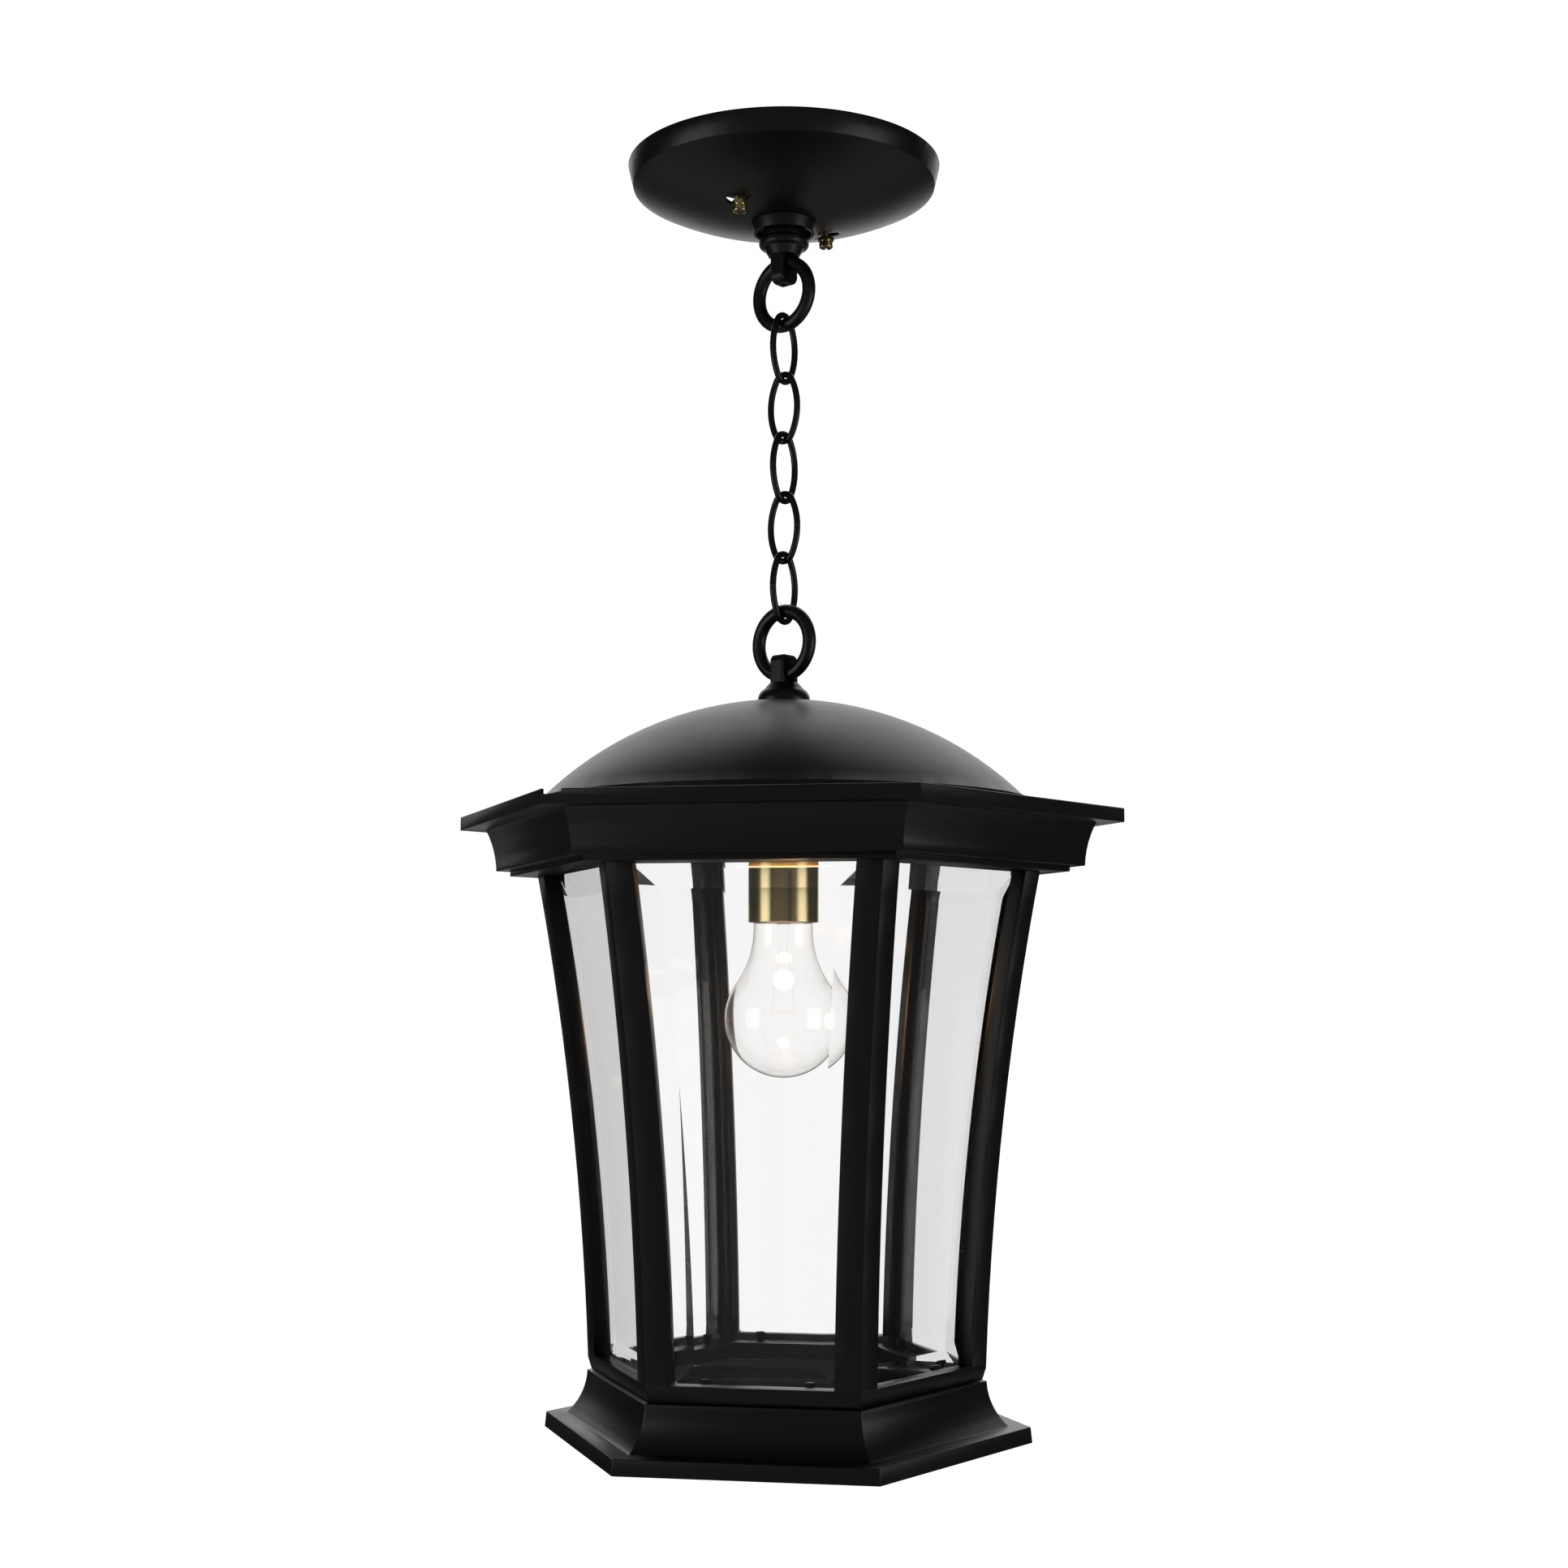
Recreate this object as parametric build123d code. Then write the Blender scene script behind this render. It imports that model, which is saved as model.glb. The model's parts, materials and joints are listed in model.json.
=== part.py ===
from build123d import *
from math import cos, radians, sin, sqrt, tan
import os

# A hexagonal hanging lantern: ceiling canopy, ring and link chain, domed roof, six bent panes, open base.
# Millimetres. The origin is the centre of the ceiling face, +Z is up, and everything hangs below z = 0.
# Faces of the hexagon look along -Y, -30, 30, 90, 150 and 210 degrees; its corners lie at 0, 60, 120 ...
# "Apothem" is the distance from the axis to a flat of a hexagon.

# ---------------------------------------------------------------- driving dimensions
RUN_GAP = 0.3            # between curved faces of pieces that move on each other
SEAT_GAP = 0.2           # around a piece that sits still in a pocket
THREAD_GAP = 0.05        # radial, between a screw and its hole
FLAT = cos(radians(30))  # apothem of a hexagon over its corner radius

# Canopy and its fixings
CANOPY_RIM_TOP_R = 82.3
CANOPY_RIM_LOW_R = 79.7
CANOPY_RIM_H = 10.8
CANOPY_SAG = 19.6        # depth of the shallow dome below the rim
CANOPY_WALL = 1.5
CANOPY_LAND_R = 18.0     # flat pressed round the centre hole
CHAIN_ANGLE = -30.0      # the rings lie in this vertical plane, links 1, 3 and 5 square to it
BAR_ANGLE = CHAIN_ANGLE + 90.0
BAR_LENGTH = 104.0
BAR_WIDTH = 19.0
BAR_THICK = 2.5
BOX_HOLE_SPACING = 88.9
BOX_HOLE_R = 2.4
CANOPY_SCREW_SPACING = 71.4
GROUND_AT = 14.0
GROUND_HEAD_R = 4.4
CEILING_CLEAR = 0.4      # screw tips stop this far below the ceiling
SCREW_SLOT = 1.1         # width and depth of a number 8 screw's slot
SMALL_SCREW_R = 2.0      # number 8 screw
CANOPY_HEAD_R = 3.75
CANOPY_HEAD_H = 2.6
SLOT_ANGLE = 35.0        # how the screws happen to be turned
CANOPY_WAIST_R = 3.15
CANOPY_WAIST_H = 1.1
CANOPY_NUT_R = 4.3       # across the corners, halved
CANOPY_NUT_H = 2.1
KEYHOLE_R = 4.7
KEYHOLE_SHIFT = 3.2
KEYHOLE_TAIL = 8.4

# Threaded pipe (1/8 in pipe size) and its nuts
PIPE_R = 5.1
PIPE_BORE_R = 3.5
PIPE_NUT_R = 9.2
PIPE_NUT_H = 4.6
PIPE_WASHER_R = 8.4
PIPE_WASHER_H = 1.2
PIPE_PROUD = 3.0         # thread left past the nut in the canopy
STEM_PROUD = 0.6         # and past the nut in the cup
PIPE_SHORT = 0.4         # between a pipe's end and what lies over it
NIPPLE_SHORT = 1.4       # the nipple stops this far above the foot of the loop's bead

# Collar, loops, rings and links
COLLAR_TOP_R = 17.3
COLLAR_LOW_R = 16.1
COLLAR_H = 6.2
COLLAR_RECESS_R = 14.4
COLLAR_RECESS_H = 3.6
LOOP_NECK_R = 11.0
LOOP_NECK_H = 8.6
LOOP_BEAD_R = 13.2
LOOP_BEAD_H = 5.6
LOOP_CONE_R = 10.6
LOOP_CONE_END_R = 8.2
LOOP_CONE_H = 4.1
EYE_THICK = 8.4
EYE_WIDTH = 13.6
EYE_OVER_RING = 0.1      # from the top of the ring's rod up to the cone's foot
EYE_END = 11.7           # centre of the hole to the end of the upper eye
EYE_CORNER = 4.8
EYE_EDGE = 1.3
WIRE_HOLE_R = 1.7
RING_R = 16.9            # centre line
RING_WIRE_R = 3.5
LINK_COUNT = 5
LINK_HALF_LENGTH = 17.79  # centre line
LINK_HALF_WIDTH = 8.9
LINK_END_R = 5.8
LINK_WIRE_R = 1.7
LINK_SEAM = 0.25
FIXTURE_EYE_UP = 10.7
FOOT_UNDER_RING = 0.4    # from the bottom of the ring's rod down to the neck
FIXTURE_EYE_CORNER = 3.6
FIXTURE_NECK_R = 7.4
FIXTURE_NECK_END_R = 10.4
FIXTURE_NECK_H = 3.4
FIXTURE_FLANGE_R = 13.4
FIXTURE_FLANGE_H = 6.9

# Roof
ROOF_DOME_R = 174.6      # sphere radius
ROOF_WALL = 2.2
ROOF_LAND_R = 14.0
ROOF_BOSS_R = 13.0
ROOF_BOSS_H = 5.0
ROOF_FOOT_R = 125.0      # where the dome meets its small step
ROOF_STEP = 2.5
EAVE_FLAT = 150.0        # apothem of the eave: 300 mm across flats
EAVE_DROP = 57.5         # sphere top to eave top
EAVE_THICK = 7.2
EAVE_LIP = 2.0
GUTTER_DEPTH = 2.9
DRAIN_LENGTH = 9.6
DRAIN_DEPTH = 2.6

# Crown moulding and ceiling plate
CROWN_TOP_FLAT = 137.9
CROWN_MID_FLAT = 134.6
CROWN_LOW_FLAT = 132.8
CROWN_H = 21.7
CROWN_MID = 0.42         # share of the height at the middle point of its curve
CROWN_WALL = 3.0
CROWN_FLANGE_FLAT = 84.0
CROWN_FLANGE_H = 3.0
CEILING_FLAT = 126.2
CEILING_THICK = 2.8
GLASS_GROOVE = 1.2

# Curved sides: posts, rail and panes share one bend
SIDE_TOP_FLAT = 113.2
SIDE_LOW_FLAT = 87.7
SIDE_BEND_R = 1850.0
SIDE_H = 251.3
POST_FACE = 12.5         # width of each post face, along the hexagon's side
POST_DEPTH = 13.0
GLASS_INSET = 8.0
GLASS_THICK = 4.0
GLASS_LAP = 3.7          # how far a post covers the edge of a pane
BEVEL_WIDTH = 12.7
BEVEL_DEPTH = 1.7
RAIL_H = 8.0
RAIL_SEAT_H = 3.6        # floor of the rail, on which a pane stands
RAIL_LEDGE_H = 5.0
RAIL_INNER_FLAT = 64.0
RAIL_CHAMFER_H = 6.0
RAIL_CHAMFER = 1.5

# Base
BASE_GAP = 0.4           # shadow line over the base
BASE_TOP_FLAT = 88.2
BASE_MID_FLAT = 90.5
BASE_LOW_FLAT = 97.2
BASE_COVE_H = 21.6
BASE_MID = 0.52
BASE_PLATE_FLAT = 106.7
BASE_PLATE_LOW_FLAT = 107.4
BASE_PLATE_H = 7.7
BASE_WALL = 3.2
BASE_FLANGE_H = 3.4

# Screws of the lantern
FRAME_SCREW_R = 1.9
FRAME_HEAD_R = 3.8
FRAME_HEAD_H = 2.2
CROWN_SCREW_AT = 139.0
CROWN_LUG_R = 6.0
CROWN_LUG_H = 7.0
CROWN_SCREW_BITE = 3.0   # how far it goes into the roof
POST_SCREW_IN = 8.25     # from a post's outer corner
POST_SCREW_LENGTH = 14.0
BASE_SCREW_BITE = 8.0    # how far it goes into a post
DRILL_TIP = 1.0          # how much deeper a blind hole is than its screw
PANE_SCREW_SIDE = 25.0
PANE_SCREW_R = 1.65
PANE_HEAD_R = 2.45
PANE_HEAD_H = 2.0
PANE_SCREW_UP = 4.6

# Socket and bulb: the cap sets the shell, the insulator and the cup round it
CUP_WALL = 1.0
CUP_TOTAL_H = 41.6
CUP_BELOW_CEILING = 24.6
INSULATOR_GAP = 0.3
INSULATOR_FLOOR = 5.0
INSULATOR_WALL = 1.9
INSULATOR_SET_BACK = 2.6
SHELL_WALL = 0.5
SHELL_RIM_H = 0.6
SHELL_CLEAR = 0.5        # between the screw shell and the insulator's bore
TERMINAL_AT = 9.0
TERMINAL_R = 1.5
TERMINAL_DEPTH = 2.0
CAP_R = 13.0             # medium screw base: 26 mm over the thread
CAP_CLEAR = 0.8          # between the cap's thread and the screw shell
CAP_SHOULDER = 2.7       # rolled over the insulator at the cap's end
CAP_CONE = 2.2
CAP_H = 23.2
CAP_UP = 1.2             # from the cup's mouth to the cap
CAP_WALL = 1.5
CAP_PITCH = 3.63
CAP_THREAD = 0.5
BULB_R = 30.0
NECK_STEP = 2.3          # the glass neck is this much wider than the cap
NECK_BELOW_CUP = 3.4
BULB_CENTRE_BELOW_CUP = 48.9
GLASS_WALL = 0.8
TIP_R = 4.6
TIP_H = 1.4
STALK_BELOW_CUP = 9.0
LEAD_R = 0.22
LEAD_SPREAD = 1.4
FILAMENT_R = 6.0
FILAMENT_WIRE_R = 0.35
FILAMENT_BELOW_CUP = 46.0

# ---------------------------------------------------------------- levels worked out from them


def sphere_height(radius, distance):
    """How far a sphere has fallen from its top at a distance from its axis."""
    return radius - sqrt(radius * radius - distance * distance)


CANOPY_DOME_R = (CANOPY_RIM_LOW_R**2 + CANOPY_SAG**2) / (2 * CANOPY_SAG)
CANOPY_LOW = -CANOPY_RIM_H - CANOPY_SAG
CANOPY_LAND = CANOPY_LOW + sphere_height(CANOPY_DOME_R, CANOPY_LAND_R)
CANOPY_CENTRE = CANOPY_LOW + CANOPY_DOME_R
CANOPY_INSIDE = CANOPY_CENTRE - sqrt((CANOPY_DOME_R - CANOPY_WALL) ** 2 - CANOPY_LAND_R**2)
EYE_DROP = RING_WIRE_R + EYE_OVER_RING
FIXTURE_EYE_DOWN = RING_WIRE_R + FOOT_UNDER_RING
LOOP_CONE_LOW = CANOPY_LAND - LOOP_NECK_H - LOOP_BEAD_H - LOOP_CONE_H
UPPER_EYE = LOOP_CONE_LOW - EYE_DROP
UPPER_RING = UPPER_EYE - RING_R
RING_TO_LINK = RING_WIRE_R + LINK_WIRE_R + RUN_GAP
LINK_PITCH = 2 * LINK_HALF_LENGTH - 2 * LINK_WIRE_R - RUN_GAP
FIRST_LINK = UPPER_RING - RING_R + RING_TO_LINK - LINK_HALF_LENGTH
LAST_LINK = FIRST_LINK - (LINK_COUNT - 1) * LINK_PITCH
LOWER_RING = LAST_LINK - LINK_HALF_LENGTH + RING_TO_LINK - RING_R
LOWER_EYE = LOWER_RING - RING_R
ROOF_LAND = LOWER_EYE - FIXTURE_EYE_DOWN - FIXTURE_NECK_H - FIXTURE_FLANGE_H
ROOF_TOP = ROOF_LAND + sphere_height(ROOF_DOME_R, ROOF_LAND_R)
EAVE_TOP = ROOF_TOP - EAVE_DROP
EAVE_LOW = EAVE_TOP - EAVE_THICK
CROWN_LOW = EAVE_LOW - CROWN_H
CEILING_LOW = CROWN_LOW - CEILING_THICK
SIDE_LOW = CEILING_LOW - SIDE_H
RAIL_TOP = SIDE_LOW + RAIL_H
BASE_TOP = SIDE_LOW - BASE_GAP
PLATE_TOP = BASE_TOP - BASE_COVE_H
BASE_LOW = PLATE_TOP - BASE_PLATE_H
CUP_LOW = CEILING_LOW - CUP_BELOW_CEILING
CUP_TOP = CUP_LOW + CUP_TOTAL_H
CUP_INSIDE = CUP_TOP - CUP_WALL
STEM_TOP = ROOF_LAND + FIXTURE_FLANGE_H - PIPE_SHORT
STEM_LOW = CUP_INSIDE - PIPE_WASHER_H - PIPE_NUT_H - STEM_PROUD
CANOPY_NUT_REACH = CANOPY_SCREW_SPACING / 2 - CANOPY_NUT_R
CANOPY_NUT_TOP = CANOPY_LOW + sphere_height(CANOPY_DOME_R, CANOPY_NUT_REACH) - SEAT_GAP
PANE_LOW = SIDE_LOW + RAIL_SEAT_H
PANE_TOP = CEILING_LOW + GLASS_GROOVE - SEAT_GAP
PANE_MARGIN = POST_FACE - GLASS_LAP
PANE_FACE = GLASS_INSET + SEAT_GAP
PANE_BACK = PANE_FACE + GLASS_THICK
INSULATOR_TOP = STEM_LOW - PIPE_SHORT
INSULATOR_LOW = CUP_LOW + INSULATOR_SET_BACK
CAVITY_TOP = INSULATOR_TOP - INSULATOR_FLOOR
CAP_LOW = CUP_LOW + CAP_UP
CAP_TOP = CAP_LOW + CAP_H
TIP_LOW = CAP_TOP + CAP_CONE
MOUTH_R = CAP_R - CAP_WALL - 2 * THREAD_GAP
CAP_MOUTH_R = CAP_R - CAP_SHOULDER
NECK_R = CAP_R + NECK_STEP
SHELL_R = CAP_R + CAP_CLEAR + SHELL_WALL
INSULATOR_BORE_R = SHELL_R + SHELL_CLEAR
CUP_R = INSULATOR_BORE_R + INSULATOR_WALL + INSULATOR_GAP + CUP_WALL
POST_SCREW_AT = SIDE_TOP_FLAT / FLAT - POST_SCREW_IN
BASE_SCREW_AT = SIDE_LOW_FLAT / FLAT - POST_SCREW_IN
CEILING_SCREW_AT = CROWN_FLANGE_FLAT / FLAT + CROWN_LUG_R
STALK_LOW = CUP_LOW - STALK_BELOW_CUP
FILAMENT_HEIGHT = CUP_LOW - FILAMENT_BELOW_CUP
FAR = 400.0              # longer than anything it has to cut

# ---------------------------------------------------------------- small helpers


def turned(shape, degrees):
    return Rot(0, 0, degrees) * shape


def lifted(shape, height):
    return Pos(0, 0, height) * shape


def disc(radius, low, high):
    return lifted(Cylinder(radius, high - low), (low + high) / 2)


def tube(outer, inner, low, high):
    return disc(outer, low, high) - disc(inner, low - 1, high + 1)


def hex_prism(flat, low, high):
    """A hexagonal prism whose flats face -Y, 30, 150 degrees and so on."""
    outline = RegularPolygon(flat / FLAT, 6)
    return lifted(extrude(outline, high - low), low)


def spun(*edges):
    """A solid of revolution from edges drawn as (radius, height)."""
    return revolve(Plane.XZ * make_face(Curve() + list(edges)), Axis.Z)


def spun_outline(*points):
    """A solid of revolution from the corners of its half section."""
    return revolve(Plane.XZ * make_face(Polyline(*points, close=True)), Axis.Z)


def around(shape, count, start=0.0):
    """Copies of a shape, evenly turned about the axis."""
    return [turned(shape, start + 360 / count * i) for i in range(count)]


def at_radius(shape, distance, degrees):
    return turned(Pos(distance, 0, 0) * shape, degrees)


def hex_body(side, low, high):
    """A hexagonal body from the curve of one side, drawn as (apothem, height) from low to high.

    The section is mirrored, drawn out along X, and crossed with two copies of itself turned by 60 and 120.
    """
    top = Line(side @ 1, (0, high))
    axis = Line((0, high), (0, low))
    foot = Line((0, low), side @ 0)
    half = make_face(Curve() + [side, top, axis, foot])
    section = half + mirror(half, Plane.YZ)
    slab = extrude(Plane.YZ * section, FAR, both=True)
    return slab & turned(slab, 60) & turned(slab, 120)


def slotted_head(radius, height, slot_width, slot_depth):
    """A round head standing on z = 0 with a screwdriver slot across its top."""
    head = lifted(Cylinder(radius, height), height / 2)
    head = fillet(head.edges().group_by(Axis.Z)[-1], min(radius, height) * 0.3)
    return head - lifted(Box(3 * radius, slot_width, 2 * slot_depth), height)


def countersunk_screw(length):
    """A flat-head screw whose head is flush with z = 0, pointing down."""
    cone = spun_outline((0, 0), (FRAME_HEAD_R, 0), (FRAME_SCREW_R, -FRAME_HEAD_H), (0, -FRAME_HEAD_H))
    return cone + disc(FRAME_SCREW_R, -length, -FRAME_HEAD_H) - Box(1.0, 3 * FRAME_HEAD_R, 1.6)


def pan_screw(length):
    """A pan-head screw under z = 0 whose shank points up."""
    head = Rot(180, 0, 0) * slotted_head(FRAME_HEAD_R, FRAME_HEAD_H, 1.0, 1.0)
    return head + disc(FRAME_SCREW_R, 0, length)


# ---------------------------------------------------------------- ceiling end


def crossbar():
    """Steel bar against the ceiling box: two box holes, two canopy screw holes and the ground hole."""
    bar = extrude(SlotOverall(BAR_LENGTH, BAR_WIDTH), -BAR_THICK)
    box_hole = Cylinder(BOX_HOLE_R, 3 * BAR_THICK)
    tapped_hole = Cylinder(SMALL_SCREW_R + THREAD_GAP, 3 * BAR_THICK)
    for side in (-1, 1):
        bar -= Pos(side * BOX_HOLE_SPACING / 2, 0, 0) * box_hole
        bar -= Pos(side * CANOPY_SCREW_SPACING / 2, 0, 0) * tapped_hole
    bar -= Pos(GROUND_AT, 0, 0) * tapped_hole
    return turned(bar, BAR_ANGLE)


def ground_screw():
    head = Rot(180, 0, 0) * slotted_head(GROUND_HEAD_R, CANOPY_HEAD_H, SCREW_SLOT, SCREW_SLOT)
    screw = lifted(head, -BAR_THICK) + disc(SMALL_SCREW_R, -BAR_THICK, -CEILING_CLEAR)
    return at_radius(screw, GROUND_AT, BAR_ANGLE)


def canopy_arc(radius, start, end):
    """The canopy's shallow dome, from one distance to another, as an arc in the half section."""
    ends = []
    for distance in (start, (start + end) / 2, end):
        ends.append((distance, CANOPY_CENTRE - sqrt(radius**2 - distance**2)))
    return ThreePointArc(*ends)


def keyhole():
    """Round end and pointed tail, for a screw at the origin; the tail points along +Y."""
    half = 0.74 * KEYHOLE_R
    tail = make_face(Polyline((-half, -KEYHOLE_SHIFT), (half, -KEYHOLE_SHIFT), (0, KEYHOLE_TAIL), close=True))
    outline = tail + Pos(0, -KEYHOLE_SHIFT) * Circle(KEYHOLE_R)
    return lifted(extrude(outline, 2 * CANOPY_SAG), CANOPY_LOW - 1)


def canopy():
    """Pressed cover: tapered rim, shallow dome, flat centre with the nipple's hole, two keyholes."""
    outer = canopy_arc(CANOPY_DOME_R, CANOPY_RIM_LOW_R, CANOPY_LAND_R)
    inner = canopy_arc(CANOPY_DOME_R - CANOPY_WALL, CANOPY_LAND_R, CANOPY_RIM_LOW_R - CANOPY_WALL)
    hole = PIPE_R + SEAT_GAP
    shell = spun(
        Line((CANOPY_RIM_TOP_R, 0), outer @ 0),
        outer,
        Line(outer @ 1, (hole, CANOPY_LAND)),
        Line((hole, CANOPY_LAND), (hole, CANOPY_INSIDE)),
        Line((hole, CANOPY_INSIDE), inner @ 0),
        inner,
        Line(inner @ 1, (CANOPY_RIM_TOP_R - CANOPY_WALL, 0)),
        Line((CANOPY_RIM_TOP_R - CANOPY_WALL, 0), (CANOPY_RIM_TOP_R, 0)),
    )
    for side in (0, 180):
        shell -= at_radius(keyhole(), CANOPY_SCREW_SPACING / 2, BAR_ANGLE + side)
    return shell


def canopy_screws():
    """Slotted brass screws up through the canopy, with a narrower waist between head and nut."""
    low = CANOPY_NUT_TOP - CANOPY_NUT_H
    waist = disc(CANOPY_WAIST_R, low - CANOPY_WAIST_H, low)
    head = Rot(180, 0, 0) * slotted_head(CANOPY_HEAD_R, CANOPY_HEAD_H, SCREW_SLOT, SCREW_SLOT)
    shank = disc(SMALL_SCREW_R, low, -CEILING_CLEAR)
    screw = shank + waist + lifted(turned(head, SLOT_ANGLE), low - CANOPY_WAIST_H)
    return [at_radius(screw, CANOPY_SCREW_SPACING / 2, BAR_ANGLE + side) for side in (0, 180)]


def canopy_hex_nuts():
    outline = RegularPolygon(CANOPY_NUT_R, 6) - Circle(SMALL_SCREW_R + THREAD_GAP)
    nut = lifted(extrude(outline, CANOPY_NUT_H), CANOPY_NUT_TOP - CANOPY_NUT_H)
    return [at_radius(nut, CANOPY_SCREW_SPACING / 2, BAR_ANGLE + side) for side in (0, 180)]


def canopy_collar():
    """Stepped ring round the loop's neck: tapered outside, recessed below."""
    low = CANOPY_LAND - COLLAR_H
    bore = LOOP_NECK_R + THREAD_GAP
    ring = spun_outline(
        (bore, CANOPY_LAND),
        (COLLAR_TOP_R, CANOPY_LAND),
        (COLLAR_LOW_R, low),
        (COLLAR_RECESS_R, low),
        (COLLAR_RECESS_R, low + COLLAR_RECESS_H),
        (bore, low + COLLAR_RECESS_H),
    )
    outer_edges = ring.edges().filter_by(GeomType.CIRCLE).sort_by(SortBy.RADIUS)[-2:]
    return fillet(outer_edges, 0.5)


def eye_hole():
    """A bell-mouthed hole along X: everywhere one running gap from the ring that swings in it."""
    reach = EYE_THICK / 2 + 0.2
    waist = RING_WIRE_R + RUN_GAP
    mouth = waist + sphere_height(RING_R, reach)
    flare = ThreePointArc((reach, mouth), (0, waist), (-reach, mouth))
    ends = [Line((-reach, mouth), (-reach, 0)), Line((reach, 0), (reach, mouth))]
    axis = Line((-reach, 0), (reach, 0))
    return revolve(make_face(Curve() + [flare, *ends, axis]), Axis.X)


def eye_block(down, up, corner):
    """The flat eye: hole centre at the origin, hole along X, corners rounded at its lower end."""
    outline = Pos(0, (up - down) / 2) * Rectangle(EYE_WIDTH, up + down)
    outline = fillet(outline.vertices().group_by(Axis.Y)[0], corner)
    block = extrude(Plane.YZ * outline, EYE_THICK / 2, both=True)
    rims = block.edges().filter_by(Plane.YZ)
    rims = [edge for edge in rims if edge.center().Z < up - 0.1]
    return fillet(rims, EYE_EDGE)


def canopy_loop():
    """Neck, rounded bead, cone and flat eye in one casting, bored for the nipple and the supply wire."""
    bead_top = CANOPY_LAND - LOOP_NECK_H
    bead_low = bead_top - LOOP_BEAD_H
    body = disc(LOOP_NECK_R, bead_top, CANOPY_LAND)
    bead = disc(LOOP_BEAD_R, bead_low, bead_top)
    body += fillet(bead.edges().filter_by(GeomType.CIRCLE), LOOP_BEAD_H * 0.42)
    cone = [(LOOP_CONE_R, bead_low), (LOOP_CONE_END_R, LOOP_CONE_LOW)]
    body += spun_outline((0, bead_low), *cone, (0, LOOP_CONE_LOW))
    body += turned(lifted(eye_block(EYE_END, EYE_DROP + LOOP_CONE_H, EYE_CORNER), UPPER_EYE), CHAIN_ANGLE)
    body -= turned(lifted(eye_hole(), UPPER_EYE), CHAIN_ANGLE)
    body -= disc(PIPE_R + THREAD_GAP, bead_low + 1, 0)
    return body - disc(WIRE_HOLE_R, UPPER_EYE - 2 * EYE_END, 0)


def pipe_nut(low):
    """Hexagonal nut for the threaded pipe."""
    outline = RegularPolygon(PIPE_NUT_R, 6) - Circle(PIPE_R + THREAD_GAP)
    nut = extrude(outline, PIPE_NUT_H)
    return lifted(nut, low)


def pipe_washer(low):
    """Toothed lock washer for the threaded pipe."""
    ring = tube(PIPE_WASHER_R, PIPE_R + THREAD_GAP, low, low + PIPE_WASHER_H)
    for tooth in around(Pos(PIPE_WASHER_R, 0, low) * Box(2.0, 1.2, 4 * PIPE_WASHER_H), 10):
        ring -= tooth
    return ring


def canopy_nipple():
    """Threaded pipe from the loop up through the canopy."""
    low = CANOPY_LAND - LOOP_NECK_H - LOOP_BEAD_H + NIPPLE_SHORT
    high = CANOPY_INSIDE + PIPE_WASHER_H + PIPE_NUT_H + PIPE_PROUD
    return tube(PIPE_R, PIPE_BORE_R, low, high)


# ---------------------------------------------------------------- rings and chain


def ring(height):
    """A plain closed ring of round rod, in the chain's plane."""
    return turned(lifted(Plane.XZ * Torus(RING_R, RING_WIRE_R), height), CHAIN_ANGLE)


def link_path():
    """One oval: two end arcs and two side arcs, tangent to each other, in (across, up)."""
    rise = LINK_HALF_LENGTH - LINK_END_R
    side_r = (LINK_HALF_WIDTH**2 + rise**2 - LINK_END_R**2) / (2 * (LINK_HALF_WIDTH - LINK_END_R))
    shift = side_r - LINK_HALF_WIDTH
    reach = side_r - LINK_END_R
    x = LINK_END_R * shift / reach
    y = rise + LINK_END_R * rise / reach
    return Curve() + [
        ThreePointArc((x, y), (0, LINK_HALF_LENGTH), (-x, y)),
        ThreePointArc((-x, y), (-LINK_HALF_WIDTH, 0), (-x, -y)),
        ThreePointArc((-x, -y), (0, -LINK_HALF_LENGTH), (x, -y)),
        ThreePointArc((x, -y), (LINK_HALF_WIDTH, 0), (x, y)),
    ]


def chain_link(number):
    """Links 1, 3, 5 stand square to the rings; the butt seam is halfway up one side."""
    path = Plane.XZ * link_path()
    wire = sweep(Plane(path @ 0, z_dir=path % 0) * Circle(LINK_WIRE_R), path)
    wire -= Pos(LINK_HALF_WIDTH, 0, 0) * Box(4 * LINK_WIRE_R, 4 * LINK_WIRE_R, LINK_SEAM)
    angle = CHAIN_ANGLE - 90 if number % 2 else CHAIN_ANGLE
    return turned(lifted(wire, FIRST_LINK - (number - 1) * LINK_PITCH), angle)


# ---------------------------------------------------------------- lantern, from the loop down


def fixture_loop():
    """Cast foot that the stem screws into, with the eye that hangs on the lower ring."""
    neck_top = LOWER_EYE - FIXTURE_EYE_DOWN
    neck_low = neck_top - FIXTURE_NECK_H
    bulge = ThreePointArc(
        (FIXTURE_NECK_END_R, neck_low),
        (FIXTURE_FLANGE_R - 0.75, neck_low - 0.32 * FIXTURE_FLANGE_H),
        (FIXTURE_FLANGE_R, ROOF_LAND),
    )
    body = spun(
        Line((0, neck_top), (FIXTURE_NECK_R, neck_top)),
        Line((FIXTURE_NECK_R, neck_top), (FIXTURE_NECK_END_R, neck_low)),
        bulge,
        Line((FIXTURE_FLANGE_R, ROOF_LAND), (0, ROOF_LAND)),
        Line((0, ROOF_LAND), (0, neck_top)),
    )
    block = Rot(180, 0, 0) * eye_block(FIXTURE_EYE_UP, FIXTURE_EYE_DOWN + 1.0, FIXTURE_EYE_CORNER)
    body += turned(lifted(block, LOWER_EYE), CHAIN_ANGLE)
    body -= turned(lifted(eye_hole(), LOWER_EYE), CHAIN_ANGLE)
    body -= disc(PIPE_R + THREAD_GAP, ROOF_LAND - 1, neck_low)
    return body - disc(WIRE_HOLE_R, ROOF_LAND, LOWER_EYE + 2 * FIXTURE_EYE_UP)


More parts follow.
